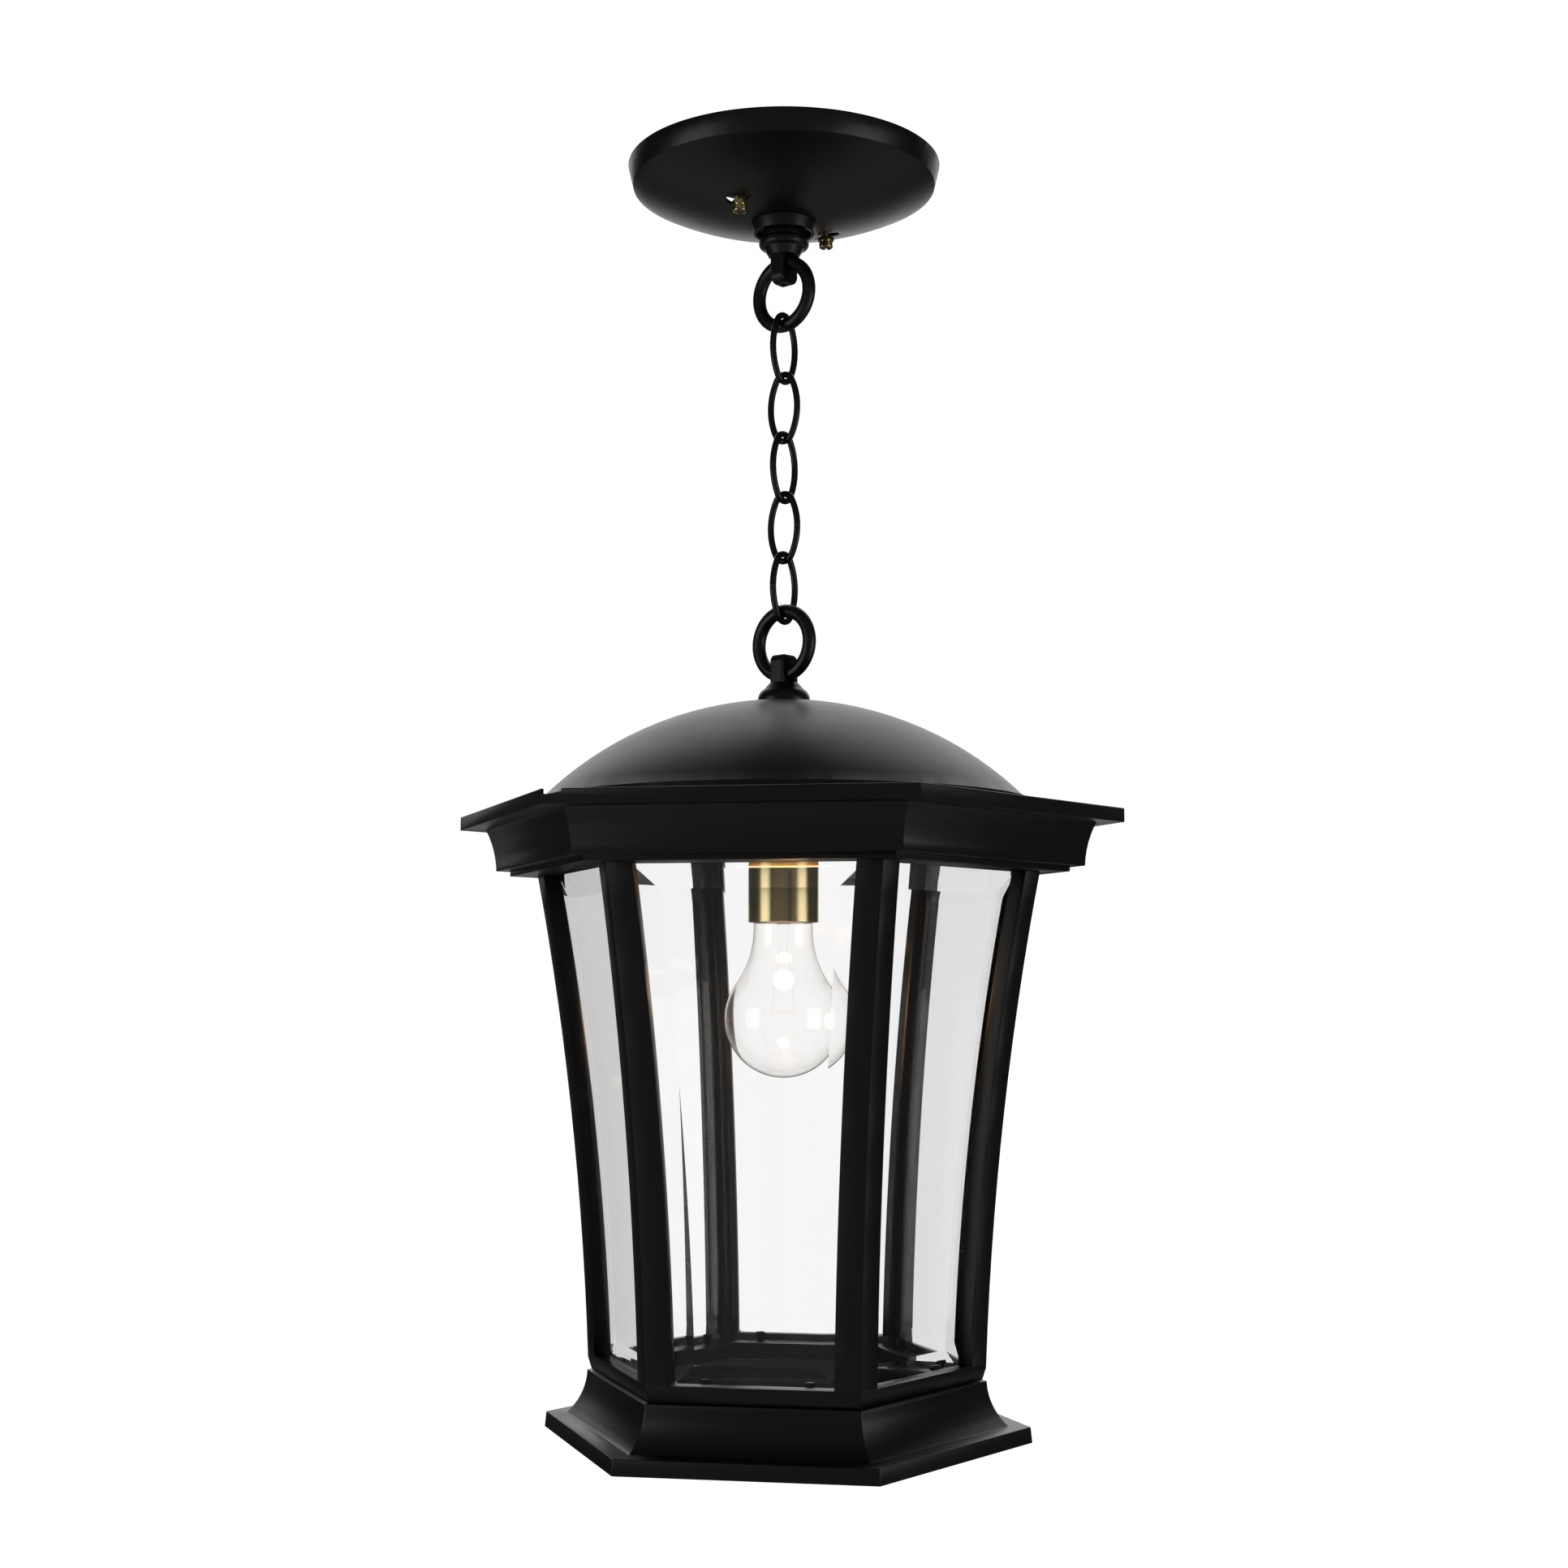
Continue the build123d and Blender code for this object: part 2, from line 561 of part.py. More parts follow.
def stem():
    return tube(PIPE_R, PIPE_BORE_R, STEM_LOW, STEM_TOP)


def stem_washers():
    under_roof = ROOF_LAND - ROOF_BOSS_H - PIPE_WASHER_H
    return [pipe_washer(under_roof), pipe_washer(CUP_TOP), pipe_washer(CUP_INSIDE - PIPE_WASHER_H)]


def stem_nuts():
    under_roof = ROOF_LAND - ROOF_BOSS_H - PIPE_WASHER_H - PIPE_NUT_H
    inside_cup = CUP_INSIDE - PIPE_WASHER_H - PIPE_NUT_H
    return [pipe_nut(under_roof), pipe_nut(CUP_TOP + PIPE_WASHER_H), pipe_nut(inside_cup)]


def roof_arc(radius, start, end):
    """The dome in its half section, from one distance to another."""
    centre = ROOF_TOP - ROOF_DOME_R
    ends = [(d, centre + sqrt(radius**2 - d**2)) for d in (start, (start + end) / 2, end)]
    return ThreePointArc(*ends)


def dome_shell():
    """The dome's wall, its boss round the stem, and the small step down to the eave."""
    outer = roof_arc(ROOF_DOME_R, ROOF_LAND_R, ROOF_FOOT_R)
    wall_r = ROOF_FOOT_R + ROOF_STEP - 1.6 * ROOF_WALL
    inner = roof_arc(ROOF_DOME_R - ROOF_WALL, wall_r, ROOF_BOSS_R)
    foot = outer @ 1
    hole = PIPE_R + SEAT_GAP
    boss_low = ROOF_LAND - ROOF_BOSS_H
    step_r = ROOF_FOOT_R + ROOF_STEP
    return spun(
        Line((hole, ROOF_LAND), outer @ 0),
        outer,
        Line(foot, (step_r, foot.Y)),
        Line((step_r, foot.Y), (step_r, EAVE_LOW)),
        Line((step_r, EAVE_LOW), (wall_r, EAVE_LOW)),
        Line((wall_r, EAVE_LOW), inner @ 0),
        inner,
        Line(inner @ 1, (ROOF_BOSS_R, boss_low)),
        Line((ROOF_BOSS_R, boss_low), (hole, boss_low)),
        Line((hole, boss_low), (hole, ROOF_LAND)),
    )


def drain_notch():
    """A gap in the lip at the start of the front side, seen from the left corner."""
    x = -EAVE_FLAT * tan(radians(30)) + DRAIN_LENGTH / 2
    return Pos(x, -EAVE_FLAT, EAVE_TOP) * Box(DRAIN_LENGTH, 3 * EAVE_LIP, 2 * DRAIN_DEPTH)


def roof():
    """Dome and eave in one casting, with a gutter behind the eave's lip."""
    eave = hex_prism(EAVE_FLAT, EAVE_LOW, EAVE_TOP)
    eave = fillet(eave.edges().group_by(Axis.Z)[-1], 0.7)
    eave -= hex_prism(EAVE_FLAT - EAVE_LIP, EAVE_TOP - GUTTER_DEPTH, EAVE_TOP + 1)
    eave -= disc(ROOF_FOOT_R, EAVE_LOW - 1, EAVE_TOP + 1)
    shell = dome_shell() + eave - drain_notch()
    hole = disc(FRAME_SCREW_R + THREAD_GAP, EAVE_LOW - 1, EAVE_LOW + CROWN_SCREW_BITE + SEAT_GAP)
    for screw in around(Pos(CROWN_SCREW_AT, 0, 0) * hole, 6):
        shell -= screw
    return shell


def cove(top, middle, low, share, high, height, inset=0.0):
    """A hollow moulding's side, from its lower edge to its upper edge, moved in by an inset."""
    foot = (low - inset, high - height)
    bend = (middle - inset, high - share * height)
    return ThreePointArc(foot, bend, (top - inset, high))


def crown_side(inset=0.0):
    return cove(CROWN_TOP_FLAT, CROWN_MID_FLAT, CROWN_LOW_FLAT, CROWN_MID, EAVE_LOW, CROWN_H, inset)


def crown():
    """Cove moulding under the eave, with an inner flange below and six screw lugs above."""
    body = hex_body(crown_side(), CROWN_LOW, EAVE_LOW) - hex_body(crown_side(CROWN_WALL), CROWN_LOW, EAVE_LOW)
    flange = hex_prism(CROWN_LOW_FLAT - CROWN_WALL / 2, CROWN_LOW, CROWN_LOW + CROWN_FLANGE_H)
    body += flange - hex_prism(CROWN_FLANGE_FLAT, CROWN_LOW - 1, CROWN_LOW + CROWN_FLANGE_H + 1)
    lug = disc(CROWN_LUG_R, EAVE_LOW - CROWN_LUG_H, EAVE_LOW)
    lug += Pos(CROWN_LUG_R, 0, EAVE_LOW - CROWN_LUG_H / 2) * Box(2 * CROWN_LUG_R, CROWN_LUG_R, CROWN_LUG_H)
    keep = hex_body(crown_side(CROWN_WALL / 2), CROWN_LOW, EAVE_LOW)
    pad = disc(CROWN_LUG_R, CROWN_LOW, CROWN_LOW + CROWN_LUG_H)
    hole = disc(FRAME_SCREW_R + THREAD_GAP, CROWN_LOW - 1, EAVE_LOW + 1)
    for angle in range(0, 360, 60):
        body += at_radius(lug, CROWN_SCREW_AT, angle) & keep
        body += at_radius(pad, CEILING_SCREW_AT, angle)
        body -= at_radius(hole, CROWN_SCREW_AT, angle) & disc(FAR, EAVE_LOW - 2 * CROWN_LUG_H, 0)
        body -= at_radius(hole, CEILING_SCREW_AT, angle)
    return body


def crown_screws():
    screw = lifted(pan_screw(CROWN_LUG_H + CROWN_SCREW_BITE), EAVE_LOW - CROWN_LUG_H)
    return [at_radius(screw, CROWN_SCREW_AT, angle) for angle in range(0, 360, 60)]


def side_centre():
    """Centre of the circle that the sides are bent to, as (apothem, height): it lies outside the lantern."""
    half_x = (SIDE_TOP_FLAT - SIDE_LOW_FLAT) / 2
    half_z = SIDE_H / 2
    chord = sqrt(half_x**2 + half_z**2)
    out = sqrt(SIDE_BEND_R**2 - chord**2)
    return (
        (SIDE_TOP_FLAT + SIDE_LOW_FLAT) / 2 + out * half_z / chord,
        (CEILING_LOW + SIDE_LOW) / 2 - out * half_x / chord,
    )


def side_flat(height, inset=0.0):
    """Apothem of the lantern's side at a height, measured inside it by an inset."""
    x, z = side_centre()
    return x - sqrt((SIDE_BEND_R + inset) ** 2 - (height - z) ** 2)


def side_arc(low, high, inset=0.0):
    middle = (low + high) / 2
    return ThreePointArc(*[(side_flat(z, inset), z) for z in (low, middle, high)])


def side_body(inset, low=SIDE_LOW, high=CEILING_LOW):
    return hex_body(side_arc(low, high, inset), low, high)


def face_prism(margin, low, high):
    """What lies within one side, a margin in from its two corner lines, drawn right through along Y."""
    middle = (low + high) / 2
    right = [(side_flat(z) * tan(radians(30)) - margin, z) for z in (low, middle, high)]
    left = [(-x, z) for x, z in reversed(right)]
    outline = Curve() + [
        ThreePointArc(*right),
        Line(right[2], left[0]),
        ThreePointArc(*left),
        Line(left[2], right[0]),
    ]
    return extrude(Plane.XZ * make_face(outline), FAR, both=True)


def frame_solid():
    """Posts and rail as one body: the wall between two insets, with the windows and pane pockets cut."""
    low, high = SIDE_LOW, CEILING_LOW
    frame = side_body(0) - side_body(POST_DEPTH)
    window = face_prism(POST_FACE, RAIL_TOP, high)
    pocket = face_prism(POST_FACE - GLASS_LAP - SEAT_GAP, SIDE_LOW + RAIL_SEAT_H, high)
    pocket &= side_body(GLASS_INSET)
    for angle in (0, 60, 120):
        frame -= turned(window, angle)
        frame -= turned(pocket, angle)
    return frame


def post_screw_hole():
    return disc(FRAME_SCREW_R + THREAD_GAP, CROWN_LOW - POST_SCREW_LENGTH - DRILL_TIP, CROWN_LOW)


def base_screw_hole():
    return disc(FRAME_SCREW_R + THREAD_GAP, BASE_LOW, RAIL_TOP + BASE_SCREW_BITE + DRILL_TIP)


def posts():
    """Six corner posts, counted from the corner at 0 degrees."""
    tall = frame_solid() & disc(FAR, RAIL_TOP, CEILING_LOW)
    corner = max(tall.solids(), key=lambda s: s.center().X)
    corner -= Pos(POST_SCREW_AT, 0, 0) * post_screw_hole()
    corner -= Pos(BASE_SCREW_AT, 0, 0) * base_screw_hole()
    return around(corner, 6)


def bottom_rail():
    """Outer lip, seat for the panes and inner ledge, with the chamfer under its outer edge."""
    rail = side_body(0, SIDE_LOW, RAIL_TOP) - hex_prism(RAIL_INNER_FLAT, SIDE_LOW - 1, RAIL_TOP + 1)
    ledge_flat = side_flat(RAIL_TOP, GLASS_INSET + GLASS_THICK + 2 * SEAT_GAP)
    rail -= hex_prism(ledge_flat, SIDE_LOW + RAIL_LEDGE_H, RAIL_TOP + 1)
    pocket = face_prism(POST_FACE - GLASS_LAP - SEAT_GAP, SIDE_LOW + RAIL_SEAT_H, RAIL_TOP)
    pocket &= side_body(GLASS_INSET, SIDE_LOW, RAIL_TOP)
    pocket -= hex_prism(ledge_flat, SIDE_LOW, RAIL_TOP)
    for angle in (0, 60, 120):
        rail -= turned(pocket, angle)
    top = side_flat(SIDE_LOW + RAIL_CHAMFER_H)
    taper = Line((side_flat(SIDE_LOW) - RAIL_CHAMFER, SIDE_LOW), (top, SIDE_LOW + RAIL_CHAMFER_H))
    chamfered = hex_body(taper, SIDE_LOW, SIDE_LOW + RAIL_CHAMFER_H)
    rail -= hex_prism(FAR / 2, SIDE_LOW, SIDE_LOW + RAIL_CHAMFER_H) - chamfered
    for angle in range(0, 360, 60):
        rail -= at_radius(base_screw_hole(), BASE_SCREW_AT, angle)
    hole = disc(PANE_SCREW_R + THREAD_GAP, SIDE_LOW - 1, RAIL_TOP)
    for place in pane_screw_places():
        rail -= place * hole
    return rail


def pane_screw_places():
    """Two screws a side, standing just inside the glass."""
    inset = GLASS_INSET + GLASS_THICK + SEAT_GAP + PANE_HEAD_R + SEAT_GAP
    distance = side_flat(SIDE_LOW + RAIL_LEDGE_H + PANE_SCREW_UP, inset)
    places = []
    for angle in range(0, 360, 60):
        for side in (-1, 1):
            places.append(Rot(0, 0, angle) * Pos(side * PANE_SCREW_SIDE, -distance, 0))
    return places


def pane_screws():
    ledge = SIDE_LOW + RAIL_LEDGE_H
    head = lifted(slotted_head(PANE_HEAD_R, PANE_HEAD_H, 0.8, 0.8), ledge + PANE_SCREW_UP - PANE_HEAD_H)
    screw = head + disc(PANE_SCREW_R, SIDE_LOW + 0.4, ledge + PANE_SCREW_UP - PANE_HEAD_H)
    return [place * screw for place in pane_screw_places()]


def pane_section():
    """Side view of the front pane as (distance out, height): two arcs, with the top and bottom bevels."""
    outer = side_arc(PANE_LOW, PANE_TOP, PANE_FACE)
    inner = side_arc(PANE_LOW + BEVEL_WIDTH, PANE_TOP - BEVEL_WIDTH, PANE_BACK)
    top = (side_flat(PANE_TOP, PANE_BACK - BEVEL_DEPTH), PANE_TOP)
    foot = (side_flat(PANE_LOW, PANE_BACK - BEVEL_DEPTH), PANE_LOW)
    head_lines = [Line(outer @ 1, top), Line(top, inner @ 1)]
    foot_lines = [Line(inner @ 0, foot), Line(foot, outer @ 0)]
    return make_face(Curve() + [outer, *head_lines, inner, *foot_lines])


def side_bevel():
    """What the bevel takes off the inside of the pane's right edge: a wedge lofted through a few heights."""
    slices = []
    past = 2.0
    steps = 4
    depth = BEVEL_DEPTH * (BEVEL_WIDTH + past) / BEVEL_WIDTH
    for i in range(steps + 1):
        z = PANE_LOW - 1 + (PANE_TOP - PANE_LOW + 2) * i / steps
        x = side_flat(z) * tan(radians(30)) - PANE_MARGIN
        y = -side_flat(z, PANE_BACK)
        corners = [(x - BEVEL_WIDTH, y), (x + past, y + past), (x + past, y - depth)]
        slices.append(lifted(make_face(Polyline(*corners, close=True)), z))
    return loft(slices)


def pane():
    """The front pane: bent to the posts' arc, narrowing downwards, bevelled all round its inner face."""
    band = extrude(Rot(0, 0, 180) * (Plane.YZ * pane_section()), FAR / 2, both=True)
    glass = band & face_prism(PANE_MARGIN, PANE_LOW - 2, PANE_TOP + 2)
    wedge = side_bevel()
    return glass - wedge - mirror(wedge, Plane.YZ)


def ceiling_plate():
    """Thin hexagonal plate: closes the lantern above, holds the posts, grooved for the panes."""
    plate = hex_prism(CEILING_FLAT, CEILING_LOW, CROWN_LOW)
    plate -= disc(CUP_R + SEAT_GAP, CEILING_LOW - 1, CROWN_LOW + 1)
    outer = side_flat(CEILING_LOW, GLASS_INSET)
    inner = side_flat(CEILING_LOW, GLASS_INSET + GLASS_THICK + 2 * SEAT_GAP)
    half = side_flat(CEILING_LOW) * tan(radians(30)) - PANE_MARGIN + SEAT_GAP
    groove = Pos(0, -(outer + inner) / 2, CEILING_LOW) * Box(2 * half, outer - inner, 2 * GLASS_GROOVE)
    sink = lifted(countersink(), CROWN_LOW)
    sink_below = lifted(Rot(180, 0, 0) * countersink(), CEILING_LOW)
    for angle in range(0, 360, 60):
        plate -= turned(groove, angle)
        plate -= at_radius(sink, POST_SCREW_AT, angle)
        plate -= at_radius(sink_below, CEILING_SCREW_AT, angle)
    return plate


def countersink():
    """The hole for a flat-head screw whose head is flush with z = 0."""
    wide = FRAME_HEAD_R + THREAD_GAP
    thin = FRAME_SCREW_R + THREAD_GAP
    return spun_outline((0, 0.5), (wide, 0.5), (wide, 0), (thin, -FRAME_HEAD_H), (thin, -12), (0, -12))


def post_screws():
    screw = lifted(countersunk_screw(POST_SCREW_LENGTH), CROWN_LOW)
    return [at_radius(screw, POST_SCREW_AT, angle) for angle in range(0, 360, 60)]


def ceiling_screws():
    """Flat-head screws from below: through the plate, into the crown's pads."""
    screw = Rot(180, 0, 0) * countersunk_screw(CEILING_THICK + CROWN_LUG_H - 1.0)
    screw = lifted(screw, CEILING_LOW)
    return [at_radius(screw, CEILING_SCREW_AT, angle) for angle in range(0, 360, 60)]


def base_side(inset=0.0):
    return cove(BASE_TOP_FLAT, BASE_MID_FLAT, BASE_LOW_FLAT, BASE_MID, BASE_TOP, BASE_COVE_H, inset)


def base():
    """Cove and flat plate in one casting, open underneath, with an inner flange under the rail."""
    body = hex_body(base_side(), PLATE_TOP, BASE_TOP)
    edge = Line((BASE_PLATE_LOW_FLAT, BASE_LOW), (BASE_PLATE_FLAT, PLATE_TOP))
    body += hex_body(edge, BASE_LOW, PLATE_TOP)
    hollow_top = BASE_TOP - BASE_FLANGE_H
    body -= hex_body(base_side(BASE_WALL), PLATE_TOP, BASE_TOP) & disc(FAR, PLATE_TOP - 1, hollow_top)
    body -= hex_prism(BASE_LOW_FLAT - BASE_WALL, BASE_LOW - 1, PLATE_TOP)
    body -= hex_prism(RAIL_INNER_FLAT + 1.0, BASE_LOW, BASE_TOP + 1)
    for angle in range(0, 360, 60):
        body -= at_radius(base_screw_hole(), BASE_SCREW_AT, angle)
    return body


def base_screws():
    length = BASE_FLANGE_H + BASE_GAP + RAIL_H + BASE_SCREW_BITE
    screw = lifted(pan_screw(length), BASE_TOP - BASE_FLANGE_H)
    return [at_radius(screw, BASE_SCREW_AT, angle) for angle in range(0, 360, 60)]


# ---------------------------------------------------------------- socket and bulb


def socket_cup():
    """Drawn brass cup, open below, clamped on the stem through the hole in its top."""
    cup = tube(CUP_R, CUP_R - CUP_WALL, CUP_LOW, CUP_TOP - CUP_WALL)
    cup += tube(CUP_R, PIPE_R + SEAT_GAP, CUP_TOP - CUP_WALL, CUP_TOP)
    return fillet(cup.edges().group_by(Axis.Z)[-1].sort_by(SortBy.RADIUS)[-1], 0.8)


def socket_insulator():
    """Moulded block in the cup, bored for the screw shell from below."""
    body = disc(CUP_R - CUP_WALL - INSULATOR_GAP, INSULATOR_LOW, INSULATOR_TOP)
    body -= disc(INSULATOR_BORE_R, INSULATOR_LOW - 1, CAVITY_TOP)
    hole = Cylinder(TERMINAL_R + THREAD_GAP, 2 * TERMINAL_DEPTH)
    for side in (-1, 1):
        body -= Pos(side * TERMINAL_AT, 0, INSULATOR_TOP) * hole
    return body


def terminal_screws():
    screw = slotted_head(2.6, 0.3, 0.6, 0.2) + disc(TERMINAL_R, THREAD_GAP - TERMINAL_DEPTH, 0)
    return [Pos(side * TERMINAL_AT, 0, INSULATOR_TOP) * screw for side in (-1, 1)]


def screw_shell():
    """Thin metal thread of the socket, with a rim turned out against the insulator's floor."""
    rim_low = CAVITY_TOP - SHELL_RIM_H
    shell = tube(SHELL_R, SHELL_R - SHELL_WALL, INSULATOR_LOW + SHELL_RIM_H, rim_low)
    rim_r = INSULATOR_BORE_R - THREAD_GAP
    return shell + tube(rim_r, SHELL_R - SHELL_WALL, rim_low, CAVITY_TOP - THREAD_GAP)


def centre_contact():
    """Brass leaf under the insulator's floor, which the bulb's tip presses on."""
    return lifted(Box(9.0, 4.0, 0.5), CAVITY_TOP - 0.25)


def bulb_cap():
    """Screw cap; its thread is drawn as rings one pitch apart."""
    points = [(CAP_R, CAP_LOW)]
    turns = int((CAP_H - 2.5) / CAP_PITCH)
    for i in range(turns):
        z = CAP_LOW + 1.6 + i * CAP_PITCH
        points += [(CAP_R - CAP_THREAD, z), (CAP_R, z + 0.5 * CAP_PITCH)]
    points += [(CAP_R - 0.6, CAP_TOP - 0.8), (CAP_R - 2.2, CAP_TOP), (CAP_MOUTH_R, CAP_TOP)]
    points += [(CAP_R - CAP_WALL, CAP_TOP - 1.6), (CAP_R - CAP_WALL, CAP_LOW)]
    return spun_outline(*points)


def bulb_base_insulator():
    wide = CAP_MOUTH_R - THREAD_GAP
    low = CAP_TOP - 1.2
    return spun_outline((0, low), (wide, low), (wide, CAP_TOP), (TIP_R, TIP_LOW), (0, TIP_LOW))


def bulb_contact():
    tip = disc(TIP_R, TIP_LOW, TIP_LOW + TIP_H)
    return fillet(tip.edges().group_by(Axis.Z)[-1], 0.8)


def bulb_side(inset, mouth_r):
    """Half section of the glass from its mouth to its bottom: neck, shoulder arc and round end."""
    centre = CUP_LOW - BULB_CENTRE_BELOW_CUP
    neck = NECK_R - inset
    end_r = BULB_R - inset
    neck_low = CUP_LOW - NECK_BELOW_CUP
    rise = neck_low - centre
    shoulder = (neck**2 + rise**2 - end_r**2) / (2 * (end_r - neck))
    reach = end_r + shoulder
    join = (end_r * (neck + shoulder) / reach, centre + end_r * rise / reach)
    half = radians(12)
    turn = (neck + shoulder * (1 - cos(half)), neck_low - shoulder * sin(half))
    mouth = (mouth_r, CAP_LOW + 1.0)
    lip = (mouth_r, CAP_LOW - 0.4)
    return [
        Line(mouth, lip),
        Line(lip, (neck, CUP_LOW - 0.6)),
        Line((neck, CUP_LOW - 0.6), (neck, neck_low)),
        ThreePointArc((neck, neck_low), turn, join),
        ThreePointArc(join, (end_r, centre), (0, centre - end_r)),
    ]


def bulb_glass():
    outside = bulb_side(0, MOUTH_R)
    inside = bulb_side(GLASS_WALL, MOUTH_R - GLASS_WALL)
    rim = Line(outside[0] @ 0, inside[0] @ 0)
    foot = Line(outside[-1] @ 1, inside[-1] @ 1)
    return spun(*outside, *inside, rim, foot)


def bulb_stem():
    """Glass mount: a skirt sealed in the bulb's mouth, and a pinched stalk that holds the lead wires."""
    skirt = MOUTH_R - GLASS_WALL - SEAT_GAP
    return spun_outline(
        (0, CAP_LOW + 6),
        (3.0, CAP_LOW + 6),
        (4.2, CAP_LOW + 2.4),
        (skirt, CAP_LOW + 0.8),
        (skirt, CAP_LOW - 0.2),
        (3.4, CAP_LOW - 1.4),
        (2.2, STALK_LOW),
        (0, STALK_LOW),
    )


def bulb_leads():
    """Two wires that spread from the stalk to the ends of the filament."""
    leads = []
    for side in (-1, 1):
        top = Vector(side * LEAD_SPREAD, 0, STALK_LOW - SEAT_GAP)
        end = Vector(side * FILAMENT_R, 0, FILAMENT_HEIGHT + FILAMENT_WIRE_R + SEAT_GAP)
        path = Line(top, end)
        leads.append(sweep(Plane(path @ 0, z_dir=path % 0) * Circle(LEAD_R), path))
    return leads


def bulb_filament():
    """A coiled wire drawn as one round bow between the leads."""
    bow = Torus(FILAMENT_R, FILAMENT_WIRE_R) & Pos(0, FAR / 2, 0) * Box(FAR, FAR, FAR)
    return lifted(bow, FILAMENT_HEIGHT)


# ---------------------------------------------------------------- build and write


def everything():
    """Every node by name; a list is a group of separate solids in one node."""
    nodes = {
        "crossbar": crossbar(),
        "ground_screw": ground_screw(),
        "canopy": canopy(),
        "canopy_screws": canopy_screws(),
        "canopy_hex_nuts": canopy_hex_nuts(),
        "canopy_collar": canopy_collar(),
        "canopy_loop": canopy_loop(),
        "canopy_nipple": canopy_nipple(),
        "canopy_lock_washer": pipe_washer(CANOPY_INSIDE),
        "canopy_nipple_nut": pipe_nut(CANOPY_INSIDE + PIPE_WASHER_H),
        "upper_ring": ring(UPPER_RING),
        "lower_ring": ring(LOWER_RING),
        "fixture_loop": fixture_loop(),
        "stem": stem(),
        "stem_washers": stem_washers(),
        "stem_nuts": stem_nuts(),
        "roof": roof(),
        "crown": crown(),
        "crown_screws": crown_screws(),
        "ceiling_plate": ceiling_plate(),
        "ceiling_screws": ceiling_screws(),
        "post_screws": post_screws(),
        "bottom_rail": bottom_rail(),
        "pane_screws": pane_screws(),
        "base": base(),
        "base_screws": base_screws(),
        "socket_cup": socket_cup(),
        "socket_insulator": socket_insulator(),
        "terminal_screws": terminal_screws(),
        "screw_shell": screw_shell(),
        "centre_contact": centre_contact(),
        "bulb_cap": bulb_cap(),
        "bulb_base_insulator": bulb_base_insulator(),
        "bulb_contact": bulb_contact(),
        "bulb_glass": bulb_glass(),
        "bulb_stem": bulb_stem(),
        "bulb_leads": bulb_leads(),
        "bulb_filament": bulb_filament(),
    }
    for number in range(1, LINK_COUNT + 1):
        nodes[f"chain_link_{number}"] = chain_link(number)
    for number, post in enumerate(posts(), 1):
        nodes[f"post_{number}"] = post
    for number, glass in enumerate(around(pane(), 6), 1):
        nodes[f"glass_pane_{number}"] = glass
    return nodes


os.makedirs("parts", exist_ok=True)
for name, made in everything().items():
    pieces = made if isinstance(made, list) else [made]
    solids = [solid for piece in pieces for solid in piece.solids()]
    export_step(solids[0] if len(solids) == 1 else Compound(solids), f"parts/{name}.step")
    print(name, len(solids), round(sum(solid.volume for solid in solids)))
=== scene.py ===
# %% [markdown]
# # A black hanging lantern, dressed for its portrait
# The frame brings every casting, screw and chain link at its true size, in metres, with the ceiling at z =
# 0. This script never moves those pieces. It gives them their finishes, replaces the few whose surface
# needs more care than plain facets (glass, bulb, rings, castings with broken edges), and sets camera and
# light.

# %% Load the frame
import json

import bmesh
import bpy
import numpy as np
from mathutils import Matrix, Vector


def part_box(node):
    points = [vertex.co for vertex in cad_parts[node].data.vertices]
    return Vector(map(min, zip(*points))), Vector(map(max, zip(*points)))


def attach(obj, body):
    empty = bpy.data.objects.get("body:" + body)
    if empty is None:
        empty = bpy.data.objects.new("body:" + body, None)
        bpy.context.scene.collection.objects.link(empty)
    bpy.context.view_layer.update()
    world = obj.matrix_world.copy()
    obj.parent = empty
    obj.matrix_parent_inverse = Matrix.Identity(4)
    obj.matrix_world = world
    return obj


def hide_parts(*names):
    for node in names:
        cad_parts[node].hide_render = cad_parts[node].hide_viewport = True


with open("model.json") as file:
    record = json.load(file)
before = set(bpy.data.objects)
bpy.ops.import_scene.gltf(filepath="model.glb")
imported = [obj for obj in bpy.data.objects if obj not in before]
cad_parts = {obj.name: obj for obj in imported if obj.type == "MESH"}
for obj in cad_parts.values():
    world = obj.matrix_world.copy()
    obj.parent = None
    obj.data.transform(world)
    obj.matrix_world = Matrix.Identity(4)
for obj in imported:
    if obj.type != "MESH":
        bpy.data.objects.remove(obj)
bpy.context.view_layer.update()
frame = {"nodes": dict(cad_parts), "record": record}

MM = 0.001
BODY_OF = {node: body for body, nodes in frame["record"]["behaviour"]["bodies"].items() for node in nodes}
SLOT_OF = {part["node"]: part["material_slot"] for part in frame["record"]["subparts"]}

# %% [markdown]
# ## Camera
# The lantern hangs above eye level. A long lens looks up at it a little from the right of the front pane, so
# that the underside of the canopy shows and the eave is seen from just below.

# %% Camera
camera = bpy.data.objects.new("camera", bpy.data.cameras.new("camera"))
camera.data.lens = 49.81
camera.data.sensor_width = 36.0
camera.location = (0.1857, -1.0978, -0.4351)
camera.rotation_euler = np.radians((95.5236, 0.0, 9.6))
bpy.context.collection.objects.link(camera)
bpy.context.scene.camera = camera
print("camera stands", round(camera.location.length, 3), "m from the ceiling point")

# %% [markdown]
# ## Nodes and colours
# Every finish below is a small node graph. One helper adds any node with its settings and links, and one
# turns the hex colours that designers use into the linear light that the renderer wants.

# %% Helpers for materials


def linear(hexa):
    """The sRGB curve undone, channel by channel: small values over 12.92, the rest through a power of 2.4."""
    srgb = np.array([int(hexa[i:i + 2], 16) for i in (1, 3, 5)]) / 255
    rgb = np.where(srgb <= 0.04045, srgb / 12.92, ((srgb + 0.055) / 1.055) ** 2.4)
    return (*rgb.tolist(), 1.0)


